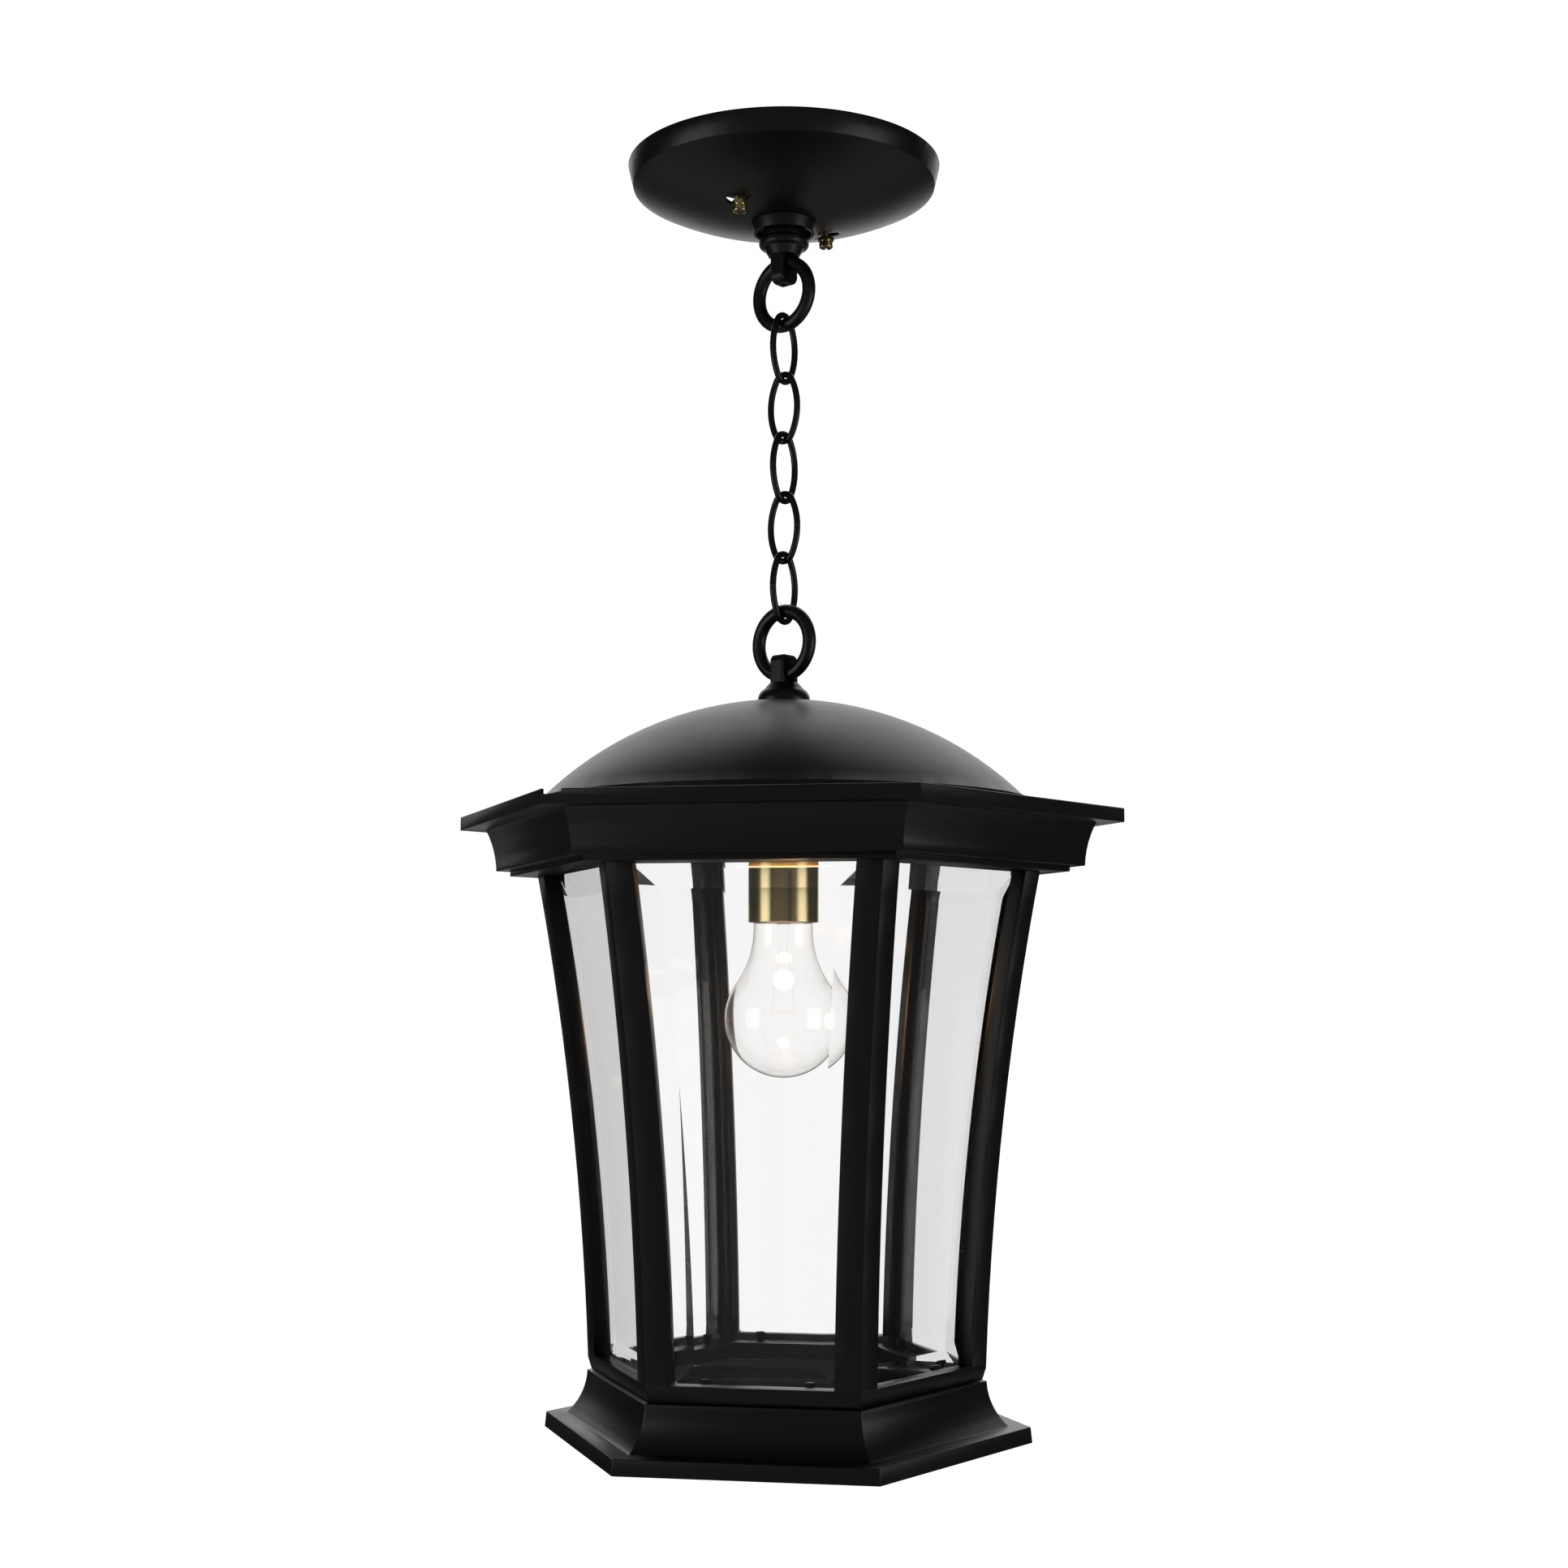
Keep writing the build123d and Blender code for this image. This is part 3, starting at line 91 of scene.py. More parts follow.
def add(tree, kind, settings=None, **inputs):
    """Adds one node. Settings are its own fields; inputs are socket values or links, with _ for a space."""
    node = tree.nodes.new(kind)
    for field, value in (settings or {}).items():
        setattr(node, field, value)
    for name, value in inputs.items():
        key = int(name[1:]) if name[0] == "i" and name[1:].isdigit() else name.replace("_", " ")
        if isinstance(value, bpy.types.NodeSocket):
            tree.links.new(value, node.inputs[key])
        else:
            node.inputs[key].default_value = value
    return node


def new_material(name):
    """An empty material and its node tree."""
    material = bpy.data.materials.new(name)
    material.use_nodes = True
    material.node_tree.nodes.clear()
    return material, material.node_tree


def close(tree, shader):
    add(tree, "ShaderNodeOutputMaterial", Surface=shader)


print("black paint in linear light:", [round(v, 4) for v in linear("#0e0e0f")[:3]])

# %% [markdown]
# ## Satin black powder coat
# The castings, canopy and chain are powder coated: charged powder melts into a film with a faint orange-peel
# ripple about a millimetre across. To the eye that is near black on faces that look at us, and a soft grey
# bloom where the surface turns away, because even black paint mirrors the room at a shallow angle.

# %% Satin black powder coat
PEEL = 1.1 * MM          # width of one orange-peel ripple
CLOUD = 28.0 * MM        # slow change of film thickness
COAT_SWING = 0.035       # how far the clouds move the roughness either way
PEEL_DEEP = 0.02 * MM    # height of the ripples


def powder_coat(name, colour, roughness, ripple):
    """Black film: slow clouds move its roughness, fine ripples tilt its surface."""
    material, tree = new_material(name)
    where = add(tree, "ShaderNodeTexCoord").outputs["Object"]
    cloud = add(tree, "ShaderNodeTexNoise", Vector=where, Scale=1 / CLOUD, Detail=2.0)
    peel = add(tree, "ShaderNodeTexNoise", Vector=where, Scale=1 / PEEL, Detail=1.0)
    spread = add(
        tree, "ShaderNodeMapRange", Value=cloud.outputs["Fac"], To_Min=roughness - COAT_SWING,
        To_Max=roughness + COAT_SWING)
    bump = add(tree, "ShaderNodeBump", Height=peel.outputs["Fac"], Distance=PEEL_DEEP, Strength=ripple)
    shader = add(
        tree, "ShaderNodeBsdfPrincipled", Base_Color=linear(colour), Roughness=spread.outputs["Result"],
        Normal=bump.outputs["Normal"], IOR=1.5)
    close(tree, shader.outputs[0])
    return material


satin_black = powder_coat("satin_black_powder_coat", "#0b0b0c", 0.36, 0.6)
chain_black = powder_coat("black_chain_enamel", "#0c0c0c", 0.30, 0.4)
print("paint materials:", satin_black.name, chain_black.name)

# %% [markdown]
# ## Brass, steel and the small parts
# The socket cup is satin brass: spun, then lacquered, so its highlights run in soft upright bands, and the
# fine turning lines only vary how soft they are. The two canopy screws and their nuts are bright brass.
# What is hidden is mostly zinc plated steel, a pale and faintly mottled grey. Metals take their colour from
# reflection, so they are fully metallic.

# %% Metals
TURNING = 0.35 * MM      # spacing of the fine turning lines
SPANGLE = 2.5 * MM       # size of the zinc's mottling
METAL_SWING = 0.05       # how far the noise moves the roughness either way
METAL_DEEP = 0.01 * MM   # height of the noise


def metal(name, colour, roughness, pattern, stretch, strength):
    """Bare or plated metal: noise of one size, stretched level by a factor, which turns blotches into lines."""
    material, tree = new_material(name)
    where = add(tree, "ShaderNodeTexCoord").outputs["Object"]
    level = add(tree, "ShaderNodeMapping", Vector=where, Scale=(1 / stretch, 1 / stretch, 1.0))
    noise = add(tree, "ShaderNodeTexNoise", Vector=level.outputs["Vector"], Scale=1 / pattern, Detail=2.0)
    spread = add(
        tree, "ShaderNodeMapRange", Value=noise.outputs["Fac"], To_Min=roughness - METAL_SWING,
        To_Max=roughness + METAL_SWING)
    bump = add(tree, "ShaderNodeBump", Height=noise.outputs["Fac"], Distance=METAL_DEEP, Strength=strength)
    shader = add(
        tree, "ShaderNodeBsdfPrincipled", Base_Color=linear(colour), Metallic=1.0,
        Roughness=spread.outputs["Result"], Normal=bump.outputs["Normal"])
    close(tree, shader.outputs[0])
    return material


# Satin brass: pale gold bands. Bright brass: small sharp glints. Zinc: pale grey that hardly shines. Green
# zinc: the ground screw's dye. Drawn aluminium: the bulb cap's silvery rings. Black oxide: screw heads
# darker than steel.
satin_brass = metal("satin_brass_lacquered", "#e3d19d", 0.24, TURNING, 60.0, 0.0)
bright_brass = metal("bright_brass", "#d8c48a", 0.16, SPANGLE, 1.0, 0.2)
zinc_steel = metal("zinc_plated_steel", "#b9bab6", 0.32, SPANGLE, 1.0, 0.4)
green_zinc = metal("green_dyed_zinc", "#2f8a45", 0.35, SPANGLE, 1.0, 0.4)
lamp_aluminium = metal("drawn_aluminium", "#cfcfcc", 0.25, TURNING, 60.0, 0.15)
black_oxide = metal("black_oxide_steel", "#1c1c1d", 0.42, SPANGLE, 1.0, 0.3)
print("metals made:", 6)

# %% [markdown]
# ## Glass
# The panes are clear float glass, 4 mm thick and bevelled all round. What sells them is refraction through
# the bevels, so they are real solids with a real refractive index, and a thin uneven film takes a little
# off their polish. The bulb is blown soda-lime glass, so thin that it hardly bends what lies behind it; a
# lower index gives its faint outline. The bulb is lit, so its skin also carries a faint warm painted glow,
# light painted into the glass as emission. Its wires are only light: the filament's own, painted on the leads.

# %% Glass and insulators
FILM = 45.0 * MM         # how slowly the film on the glass comes and goes


def clear_glass(name, colour, film, index, lets_light_by=False, painted_glow=0.0):
    """Refracting glass whose polish is dulled by a slow noise, from nothing up to the film's roughness.

    Glass that lets light by is fully clear to the rays that only ask whether a lamp can be reached. The painted
    glow is a faint warm emission, painted light that stands for the haze that glass shows round a lit lamp.
    """
    material, tree = new_material(name)
    where = add(tree, "ShaderNodeTexCoord").outputs["Object"]
    patches = add(tree, "ShaderNodeTexNoise", Vector=where, Scale=1 / FILM, Detail=1.0)
    spread = add(tree, "ShaderNodeMapRange", Value=patches.outputs["Fac"], To_Min=0.0, To_Max=film)
    # The emission is a painted glow: faint warm light painted into the glass round the lit lamp.
    shader = add(
        tree, "ShaderNodeBsdfPrincipled", Base_Color=linear(colour), Roughness=spread.outputs["Result"],
        IOR=index, Transmission_Weight=1.0, Emission_Color=linear("#ffdfc0"), Emission_Strength=painted_glow)
    surface = shader.outputs[0]
    if lets_light_by:
        asking = add(tree, "ShaderNodeLightPath").outputs["Is Shadow Ray"]
        clear = add(tree, "ShaderNodeBsdfTransparent")
        surface = add(tree, "ShaderNodeMixShader", Fac=asking, i1=surface, i2=clear.outputs[0]).outputs[0]
    close(tree, surface)
    return material


def moulded(name, colour, roughness):
    """Pressed phenolic: glossy, with a fine moulding grain."""
    material, tree = new_material(name)
    where = add(tree, "ShaderNodeTexCoord").outputs["Object"]
    grain = add(tree, "ShaderNodeTexNoise", Vector=where, Scale=1 / (0.6 * MM), Detail=2.0)
    bump = add(tree, "ShaderNodeBump", Height=grain.outputs["Fac"], Distance=0.02 * MM, Strength=0.4)
    shader = add(
        tree, "ShaderNodeBsdfPrincipled", Base_Color=linear(colour), Roughness=roughness,
        Normal=bump.outputs["Normal"])
    close(tree, shader.outputs[0])
    return material


def glowing_wire(name, glow, power):
    """A wire drawn only as glow: its own dark surface is lost in the light. On the filament that is its own
    light; on the leads it is painted light, the filament's light painted on. Its dullness wanders.
    """
    material, tree = new_material(name)
    where = add(tree, "ShaderNodeTexCoord").outputs["Object"]
    along = add(tree, "ShaderNodeTexNoise", Vector=where, Scale=1 / (4 * MM), Detail=0.0)
    spread = add(tree, "ShaderNodeMapRange", Value=along.outputs["Fac"], To_Min=0.42, To_Max=0.58)
    shader = add(
        tree, "ShaderNodeBsdfPrincipled", Base_Color=linear("#000000"), Specular_IOR_Level=0.0,
        Roughness=spread.outputs["Result"], Emission_Color=linear(glow), Emission_Strength=power)
    close(tree, shader.outputs[0])
    return material


# Float glass: crisp lines at the bevels. Bulb glass: a faint outline, soft reflections and a faint painted warm
# glow. Stalk glass: all but gone in the lamp's light. Ground edge: matt dark grey. Phenolic: glossy black.
# Wires: as bright as the backdrop, the filament by its own glow, the leads by painted glow.
pane_glass = clear_glass("bevelled_float_glass", "#fefefe", 0.012, 1.5)
# The bulb glass carries a painted glow: faint warm light painted into it as emission.
lamp_glass = clear_glass("thin_bulb_glass", "#ffffff", 0.004, 1.33, lets_light_by=True, painted_glow=0.018)
stalk_glass = clear_glass("sealed_stalk_glass", "#ffffff", 0.004, 1.04, lets_light_by=True)
ground_edge = moulded("ground_glass_edge", "#2c302e", 0.7)
phenolic = moulded("black_phenolic", "#141414", 0.28)
tungsten = glowing_wire("glowing_tungsten_wire", "#fff6ec", 0.98)
# The leads' glow is painted light: the filament's light painted on them as emission.
lit_nickel = glowing_wire("nickel_leads_lit_by_the_filament", "#fdfcfa", 0.90)
print("glass made:", pane_glass.name, lamp_glass.name)

# %% [markdown]
# ## Finishes for the frame
# The record gives every piece a slot, which is its finish by name. A table turns each slot into a material,
# and the few pieces whose look differs from the rest of their slot are painted afterwards.

# %% Give every node of the frame its finish
FINISH = {
    "black_casting": satin_black,
    "satin_black": satin_black,
    "black_screws": black_oxide,
    "brass": bright_brass,
    "satin_brass": satin_brass,
    "green_screw": green_zinc,
    "zinc_steel": zinc_steel,
    "bevelled_glass": pane_glass,
    "lamp_glass": lamp_glass,
    "lamp_cap": lamp_aluminium,
    "black_insulator": phenolic,
    "lamp_wire": tungsten,
}


def paint(thing, finish):
    """Puts one finish into every material slot of a piece."""
    if not thing.material_slots:
        thing.data.materials.append(finish)
    for place in thing.material_slots:
        place.material = finish


for node, thing in frame["nodes"].items():
    paint(thing, FINISH[SLOT_OF[node]])
for node in frame["nodes"]:
    if node.startswith("chain_link"):
        paint(frame["nodes"][node], chain_black)
paint(frame["nodes"]["bulb_leads"], lit_nickel)
paint(frame["nodes"]["bulb_stem"], stalk_glass)
paint(frame["nodes"]["pane_screws"], black_oxide)
print("nodes painted:", len(frame["nodes"]))

# %% [markdown]
# ## Castings with broken edges
# A real casting has no knife edges: the pattern, the fettling and the thick powder film leave every corner
# rounded by half a millimetre or so. That round is what draws the thin grey line along each edge. The
# frame's castings are sharp, so each is copied, its facets welded and merged, and a bevel rounds every
# corner that turns by more than 25 degrees. Domes stay smooth because their facets turn by less.

# %% Soften the castings
CAST_ROUND = 0.7 * MM
FINE_ROUND = 0.35 * MM
SHARP = np.radians(25.0)  # a corner that turns by more than this is an edge
WELD = 0.002 * MM         # points closer than this are one
FLAT = 0.002              # neighbours that turn by less than this, in radians, are one face

# Long thin or ring-like flats would close over as one face when their edges are cut back, so these are split.
LONG_FACED = {"base", "roof"} | {f"post_{number}" for number in range(1, 7)}


def softened(node, width, finish):
    """A welded copy of a frame node whose sharp edges are rounded; it takes the node's place."""
    shape = bmesh.new()
    shape.from_mesh(frame["nodes"][node].data)
    bmesh.ops.remove_doubles(shape, verts=shape.verts, dist=WELD)
    bmesh.ops.dissolve_degenerate(shape, edges=shape.edges, dist=WELD)
    flat_edges = [e for e in shape.edges if e.is_manifold and e.calc_face_angle(0.0) < FLAT]
    bmesh.ops.dissolve_edges(shape, edges=flat_edges, use_verts=False)
    if node in LONG_FACED:
        bmesh.ops.triangulate(shape, faces=[f for f in shape.faces if len(f.verts) > 4])
    for face in shape.faces:
        face.smooth = True
    mesh = bpy.data.meshes.new(node + "_casting")
    shape.to_mesh(mesh)
    shape.free()
    mesh.materials.clear()
    piece = bpy.data.objects.new(node + "_casting", mesh)
    bpy.context.collection.objects.link(piece)
    paint(piece, finish)
    bevel = piece.modifiers.new("broken_edges", "BEVEL")
    bevel.limit_method = "ANGLE"
    bevel.angle_limit = SHARP
    bevel.width = width
    bevel.segments = 2
    bevel.harden_normals = True
    bevel.miter_outer = "MITER_ARC"
    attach(piece, BODY_OF[node])
    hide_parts(node)
    return piece


ROUND_OF = {"roof": CAST_ROUND, "crown": FINE_ROUND, "ceiling_plate": FINE_ROUND, "bottom_rail": CAST_ROUND}
ROUND_OF |= {"base": CAST_ROUND, "canopy": FINE_ROUND, "canopy_collar": FINE_ROUND}
ROUND_OF |= {f"post_{number}": CAST_ROUND for number in range(1, 7)}
for node, width in ROUND_OF.items():
    made = softened(node, width, satin_black)
    print(node, "welded to", len(made.data.polygons), "faces")

# %% [markdown]
# ## Surfaces from two parameters
# Rings, panes and bulb are surfaces that a formula describes exactly. Each is worked out on a grid of
# points as whole arrays and handed to the mesh in one go, which keeps them smooth however close the camera
# comes.

# %% Grid to mesh


def grid_faces(rows, columns, wrap_rows, wrap_columns):
    """Quads between neighbours of a grid of points; a wrapped side joins its last line to its first."""
    r = np.arange(rows if wrap_rows else rows - 1)
    c = np.arange(columns if wrap_columns else columns - 1)
    r, c = (a.ravel() for a in np.meshgrid(r, c, indexing="ij"))
    r2, c2 = (r + 1) % rows, (c + 1) % columns
    return np.stack([r * columns + c, r2 * columns + c, r2 * columns + c2, r * columns + c2], axis=1)


def mesh_from(name, points, faces, zones=None):
    """Builds a mesh from point rows and quads, welds coincident points and turns every face outwards.

    Zones, one number a face, choose the material slot.
    """
    mesh = bpy.data.meshes.new(name)
    mesh.from_pydata(points.reshape(-1, 3).tolist(), [], faces.tolist())
    if zones is not None:
        mesh.polygons.foreach_set("material_index", zones)
    shape = bmesh.new()
    shape.from_mesh(mesh)
    bmesh.ops.remove_doubles(shape, verts=shape.verts, dist=0.001 * MM)
    bmesh.ops.dissolve_degenerate(shape, edges=shape.edges, dist=0.0005 * MM)
    bmesh.ops.recalc_face_normals(shape, faces=shape.faces)
    shape.to_mesh(mesh)
    shape.free()
    mesh.polygons.foreach_set("use_smooth", np.full(len(mesh.polygons), True))
    return mesh


def stands_for(name, mesh, finish, node):
    """Links a finished mesh, lets it ride with its node's body and takes the node's place."""
    piece = bpy.data.objects.new(name, mesh)
    bpy.context.collection.objects.link(piece)
    paint(piece, finish)
    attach(piece, BODY_OF[node])
    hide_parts(node)
    return piece


def tube_points(path, across, up, radius, sides):
    """A round tube: at each path point, a circle spanned by two unit vectors, radius times cosine and sine."""
    turn = np.linspace(0, 2 * np.pi, sides, endpoint=False)
    circle = np.cos(turn)[None, :, None] * across[:, None, :] + np.sin(turn)[None, :, None] * up[:, None, :]
    return path[:, None, :] + radius * circle


# %% [markdown]
# ## Rings
# Each loop holds a plain ring of 7 mm rod. It is a torus: a circle carried round a larger circle. The frame
# gives the ring's box, and its height and thickness give both radii.

# %% Rings
CHAIN_TURN = np.radians(-30.0)
ALONG = np.array([np.cos(CHAIN_TURN), np.sin(CHAIN_TURN), 0.0])
SQUARE = np.array([-np.sin(CHAIN_TURN), np.cos(CHAIN_TURN), 0.0])
UP = np.array([0.0, 0.0, 1.0])
RING_WIRE = 3.5 * MM
RING_STEPS = 128         # steps round the ring
RING_SIDES = 40          # facets round its rod


def ring_mesh(node):
    """A torus in the chain's upright plane; its centre line is half the height less the wire's radius."""
    low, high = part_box(node)
    centre = np.array([0.0, 0.0, (low.z + high.z) / 2])
    radius = (high.z - low.z) / 2 - RING_WIRE
    turn = np.linspace(0, 2 * np.pi, RING_STEPS, endpoint=False)[:, None]
    outward = np.cos(turn) * ALONG + np.sin(turn) * UP
    side = np.broadcast_to(SQUARE, outward.shape)
    points = tube_points(centre + radius * outward, outward, side, RING_WIRE, RING_SIDES)
    print(node, "centre line radius", round(radius / MM, 2), "mm")
    return mesh_from(node, points, grid_faces(RING_STEPS, RING_SIDES, True, True))


for node in ("upper_ring", "lower_ring"):
    stands_for(node + "_rod", ring_mesh(node), satin_black, node)

# %% [markdown]
# ## Chain links
# Five ovals of 3.4 mm wire. An oval's centre line is four arcs: a tight one at each end and a shallow one
# along each side, tangent where they meet. The wire's two ends meet in a hairline seam halfway up one side.

# %% Chain links
LINK_WIRE = 1.7 * MM
LINK_END = 5.8 * MM      # radius of the tight arcs
LINK_WIDE = 8.9 * MM     # from the link's middle to the wire's centre line
LINK_SIDES = 28          # facets round the wire
LINK_SEAM = 0.25 * MM


def arc(centre, radius, start, stop, count):
    """Points (x, y) on a circle from one angle to another: centre plus radius times cosine and sine."""
    turn = np.linspace(start, stop, count)
    return np.stack([centre[0] + radius * np.cos(turn), centre[1] + radius * np.sin(turn)], axis=1)


def oval(half_width, half_length, seam):
    """The oval's centre line as (across, up), from one end of the wire round to the other."""
    rise = half_length - LINK_END
    side_r = (half_width**2 + rise**2 - LINK_END**2) / (2 * (half_width - LINK_END))
    shift = side_r - half_width
    lean = np.arctan2(rise, shift)
    gap = seam / 2 / side_r
    return np.concatenate([
        arc((-shift, 0), side_r, gap, lean, 20)[:-1],
        arc((0, rise), LINK_END, lean, np.pi - lean, 40)[:-1],
        arc((shift, 0), side_r, np.pi - lean, np.pi + lean, 40)[:-1],
        arc((0, -rise), LINK_END, np.pi + lean, 2 * np.pi - lean, 40)[:-1],
        arc((-shift, 0), side_r, -lean, -gap, 20)])


def link_mesh(number):
    """The oval's tube with a flat end each side of the seam; odd links stand square to the rings."""
    node = f"chain_link_{number}"
    low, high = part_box(node)
    half_length = (high.z - low.z) / 2 - LINK_WIRE
    turn = CHAIN_TURN + (-np.pi / 2 if number % 2 else 0.0)
    level = np.array([np.cos(turn), np.sin(turn), 0.0])
    square = np.array([-np.sin(turn), np.cos(turn), 0.0])
    flat = oval(LINK_WIDE, half_length, LINK_SEAM)
    path = np.array([0, 0, (low.z + high.z) / 2]) + flat[:, :1] * level + flat[:, 1:] * UP
    ahead = np.gradient(path, axis=0)
    ahead /= np.linalg.norm(ahead, axis=1, keepdims=True)
    side = np.broadcast_to(square, path.shape)
    tube = tube_points(path, np.cross(ahead, side), side, LINK_WIRE, LINK_SIDES)
    ends = [np.repeat(path[i][None, None, :], LINK_SIDES, axis=1) for i in (0, -1)]
    tube = np.concatenate([ends[0], tube, ends[1]])
    print(node, "half length", round(half_length / MM, 2), "mm")
    mesh = mesh_from(node, tube, grid_faces(len(tube), LINK_SIDES, False, True))
    mesh.set_sharp_from_angle(angle=np.radians(40))
    return mesh


for number in range(1, 6):
    stands_for(f"link_{number}_wire", link_mesh(number), chain_black, f"chain_link_{number}")

# %% [markdown]
# ## Panes
# Each pane is bent to one long arc that curves inwards as it goes down, and it narrows with the posts.
# Inside, a bevel 12.7 mm wide and 1.7 mm deep runs along all four edges; it meets the flat in a crisp line
# that bends whatever lies behind it. The narrow outer edge, hidden in its rabbet, is ground and grey. The
# arc is a circle 1850 mm in radius through the frame's top and bottom widths.

# %% Panes
BEND_R = 1850.0
SIDE_HIGH_FLAT = 113.2   # from the axis to the frame's flat side, at its top and at its foot
SIDE_LOW_FLAT = 87.7
SIDE_HEIGHT = 251.3
PANE_IN = 8.2            # from the frame's face to the glass
PANE_THICK = 4.0
EDGE_IN = 8.8            # from the corner line to the glass's edge
BEVEL_WIDE = 12.7
BEVEL_DEEP = 1.7
PANE_STEPS = 49          # points up a pane
side_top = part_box("post_1")[1].z / MM
side_low = side_top - SIDE_HEIGHT
chord_x, chord_z = (SIDE_HIGH_FLAT - SIDE_LOW_FLAT) / 2, SIDE_HEIGHT / 2
chord = np.hypot(chord_x, chord_z)
reach = np.sqrt(BEND_R**2 - chord**2)
bend_x = (SIDE_HIGH_FLAT + SIDE_LOW_FLAT) / 2 + reach * chord_z / chord
bend_z = (side_top + side_low) / 2 - reach * chord_x / chord


def flat_at(height, inset):
    """Distance from the axis to a side at each height: the bend's centre less the arc's level reach."""
    return bend_x - np.sqrt((BEND_R + inset) ** 2 - (height - bend_z) ** 2)


def pane_sheet(across, heights, inset, edge):
    """A curved grid (heights by across); across runs from -1 to 1 between the side edges less a margin."""
    z = heights[:, None] + 0 * across[None, :]
    half_width = flat_at(z, 0.0) * np.tan(np.pi / 6) - EDGE_IN - edge
    return np.stack([across[None, :] * half_width, -flat_at(z, inset), z], axis=2)


def pane_mesh(number):
    """Outer sheet, inner flat, and the bevel between their outlines, turned about the axis to its side."""
    low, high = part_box(f"glass_pane_{number}")
    low, high = low.z / MM, high.z / MM
    across = np.linspace(-1, 1, 9)
    full = np.linspace(low, high, PANE_STEPS)
    within = np.linspace(low + BEVEL_WIDE, high - BEVEL_WIDE, PANE_STEPS)
    outer = pane_sheet(across, full, PANE_IN, 0.0)
    flat = pane_sheet(across, within, PANE_IN + PANE_THICK, BEVEL_WIDE)
    rim = pane_sheet(across, full, PANE_IN + PANE_THICK - BEVEL_DEEP, 0.0)

    def outline(sheet):
        """The sheet's border points in order, once round."""
        return np.concatenate([sheet[0, :-1], sheet[:-1, -1], sheet[-1, :0:-1], sheet[:0:-1, 0]])

    borders = np.stack([outline(outer), outline(rim), outline(flat)])
    rows, columns = outer.shape[:2]
    sheet_faces = grid_faces(rows, columns, False, False)
    band_faces = grid_faces(3, borders.shape[1], False, True)
    points = np.concatenate([outer.reshape(-1, 3), flat.reshape(-1, 3), borders.reshape(-1, 3)]) * MM
    faces = np.concatenate([sheet_faces, sheet_faces + rows * columns, band_faces + 2 * rows * columns])
    turn = np.radians(60.0 * (number - 1))
    spin = np.array([[np.cos(turn), np.sin(turn), 0], [-np.sin(turn), np.cos(turn), 0], [0, 0, 1]])
    edge_faces = borders.shape[1]
    zones = np.zeros(len(faces), dtype=np.int32)
    zones[2 * len(sheet_faces):2 * len(sheet_faces) + edge_faces] = 1
    mesh = mesh_from(f"pane_{number}", points @ spin, faces, zones)
    mesh.set_sharp_from_angle(angle=np.radians(2.5))
    return mesh


for number in range(1, 7):
    pane = stands_for(f"pane_{number}_glass", pane_mesh(number), pane_glass, f"glass_pane_{number}")
    pane.data.materials.append(ground_edge)
print("each pane has", len(pane.data.polygons), "faces")

# %% [markdown]
# ## Turned surfaces
# The bulb and the brass cup are turned about the axis. The bulb's outline is a short straight neck, a hollow
# shoulder arc and a round end; the inner skin is the same outline moved in by the glass's thickness.

# %% Bulb and cup
BULB_R = 30.0
NECK_R = 15.3
GLASS_WALL = 0.3         # as thin as a real bulb's
MOUTH_R = 11.4           # where the glass is sealed into the cap
MOUTH_UP, MOUTH_ROLL, NECK_TOP = 2.2, 0.8, -0.6    # heights over the cup's rim, from the mouth to the neck
NECK_LOW = 3.4           # the neck's lower end, below the cup's rim
BULB_MIDDLE = 48.9       # the round end's centre, below the cup's rim
TURN_STEPS = 96
cup_low, cup_high = (corner.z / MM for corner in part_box("socket_cup"))
CUP_R = 18.0
CUP_WALL = 1.0


def turned_mesh(name, outline, sharp):
    """Carries a closed outline of (radius, height) once round the axis."""
    turn = np.linspace(0, 2 * np.pi, TURN_STEPS, endpoint=False)
    radius, height = outline[:, :1], outline[:, 1:]
    points = np.stack([radius * np.cos(turn), radius * np.sin(turn), height + 0 * turn], axis=2) * MM
    closed = bool(outline[0, 0] > 0)
    mesh = mesh_from(name, points, grid_faces(len(outline), TURN_STEPS, closed, True))
    mesh.set_sharp_from_angle(angle=np.radians(sharp))
    return mesh


def bulb_outline(inset, mouth_r):
    """Half section from the mouth to the bottom: neck, shoulder arc tangent to neck and end, round end."""
    middle_z = cup_low - BULB_MIDDLE
    neck, end_r, neck_low = NECK_R - inset, BULB_R - inset, cup_low - NECK_LOW
    rise = neck_low - middle_z
    shoulder = (neck**2 + rise**2 - end_r**2) / (2 * (end_r - neck))
    lean = np.arctan2(rise, neck + shoulder)
    mouth = np.array([(mouth_r, MOUTH_UP), (mouth_r, MOUTH_ROLL), (neck, NECK_TOP)]) + (0, cup_low)
    hollow = arc((neck + shoulder, neck_low), shoulder, np.pi, np.pi + lean, 24)
    end = arc((0, middle_z), end_r, lean, -np.pi / 2, 64)
    return np.concatenate([mouth, hollow, end[1:]])


outer = bulb_outline(0.0, MOUTH_R)
inner = bulb_outline(GLASS_WALL, MOUTH_R - GLASS_WALL)
skin = np.concatenate([outer, inner[::-1]])
stands_for("bulb_envelope", turned_mesh("bulb_envelope", skin, 30.0), lamp_glass, "bulb_glass")

PIPE_HOLE = 5.3          # radius of the hole for the threaded stem
CUP_ROUND = 0.8
corner = arc((CUP_R - CUP_ROUND, cup_high - CUP_ROUND), CUP_ROUND, 0.0, np.pi / 2, 8)
cup = np.concatenate([
    [(CUP_R, cup_low)], corner, [(PIPE_HOLE, cup_high), (PIPE_HOLE, cup_high - CUP_WALL)],
    [(CUP_R - CUP_WALL, cup_high - CUP_WALL), (CUP_R - CUP_WALL, cup_low)]])
stands_for("socket_cup_spun", turned_mesh("socket_cup_spun", cup, 35.0), satin_brass, "socket_cup")
print("bulb outline points:", len(skin), "cup outline points:", len(cup))

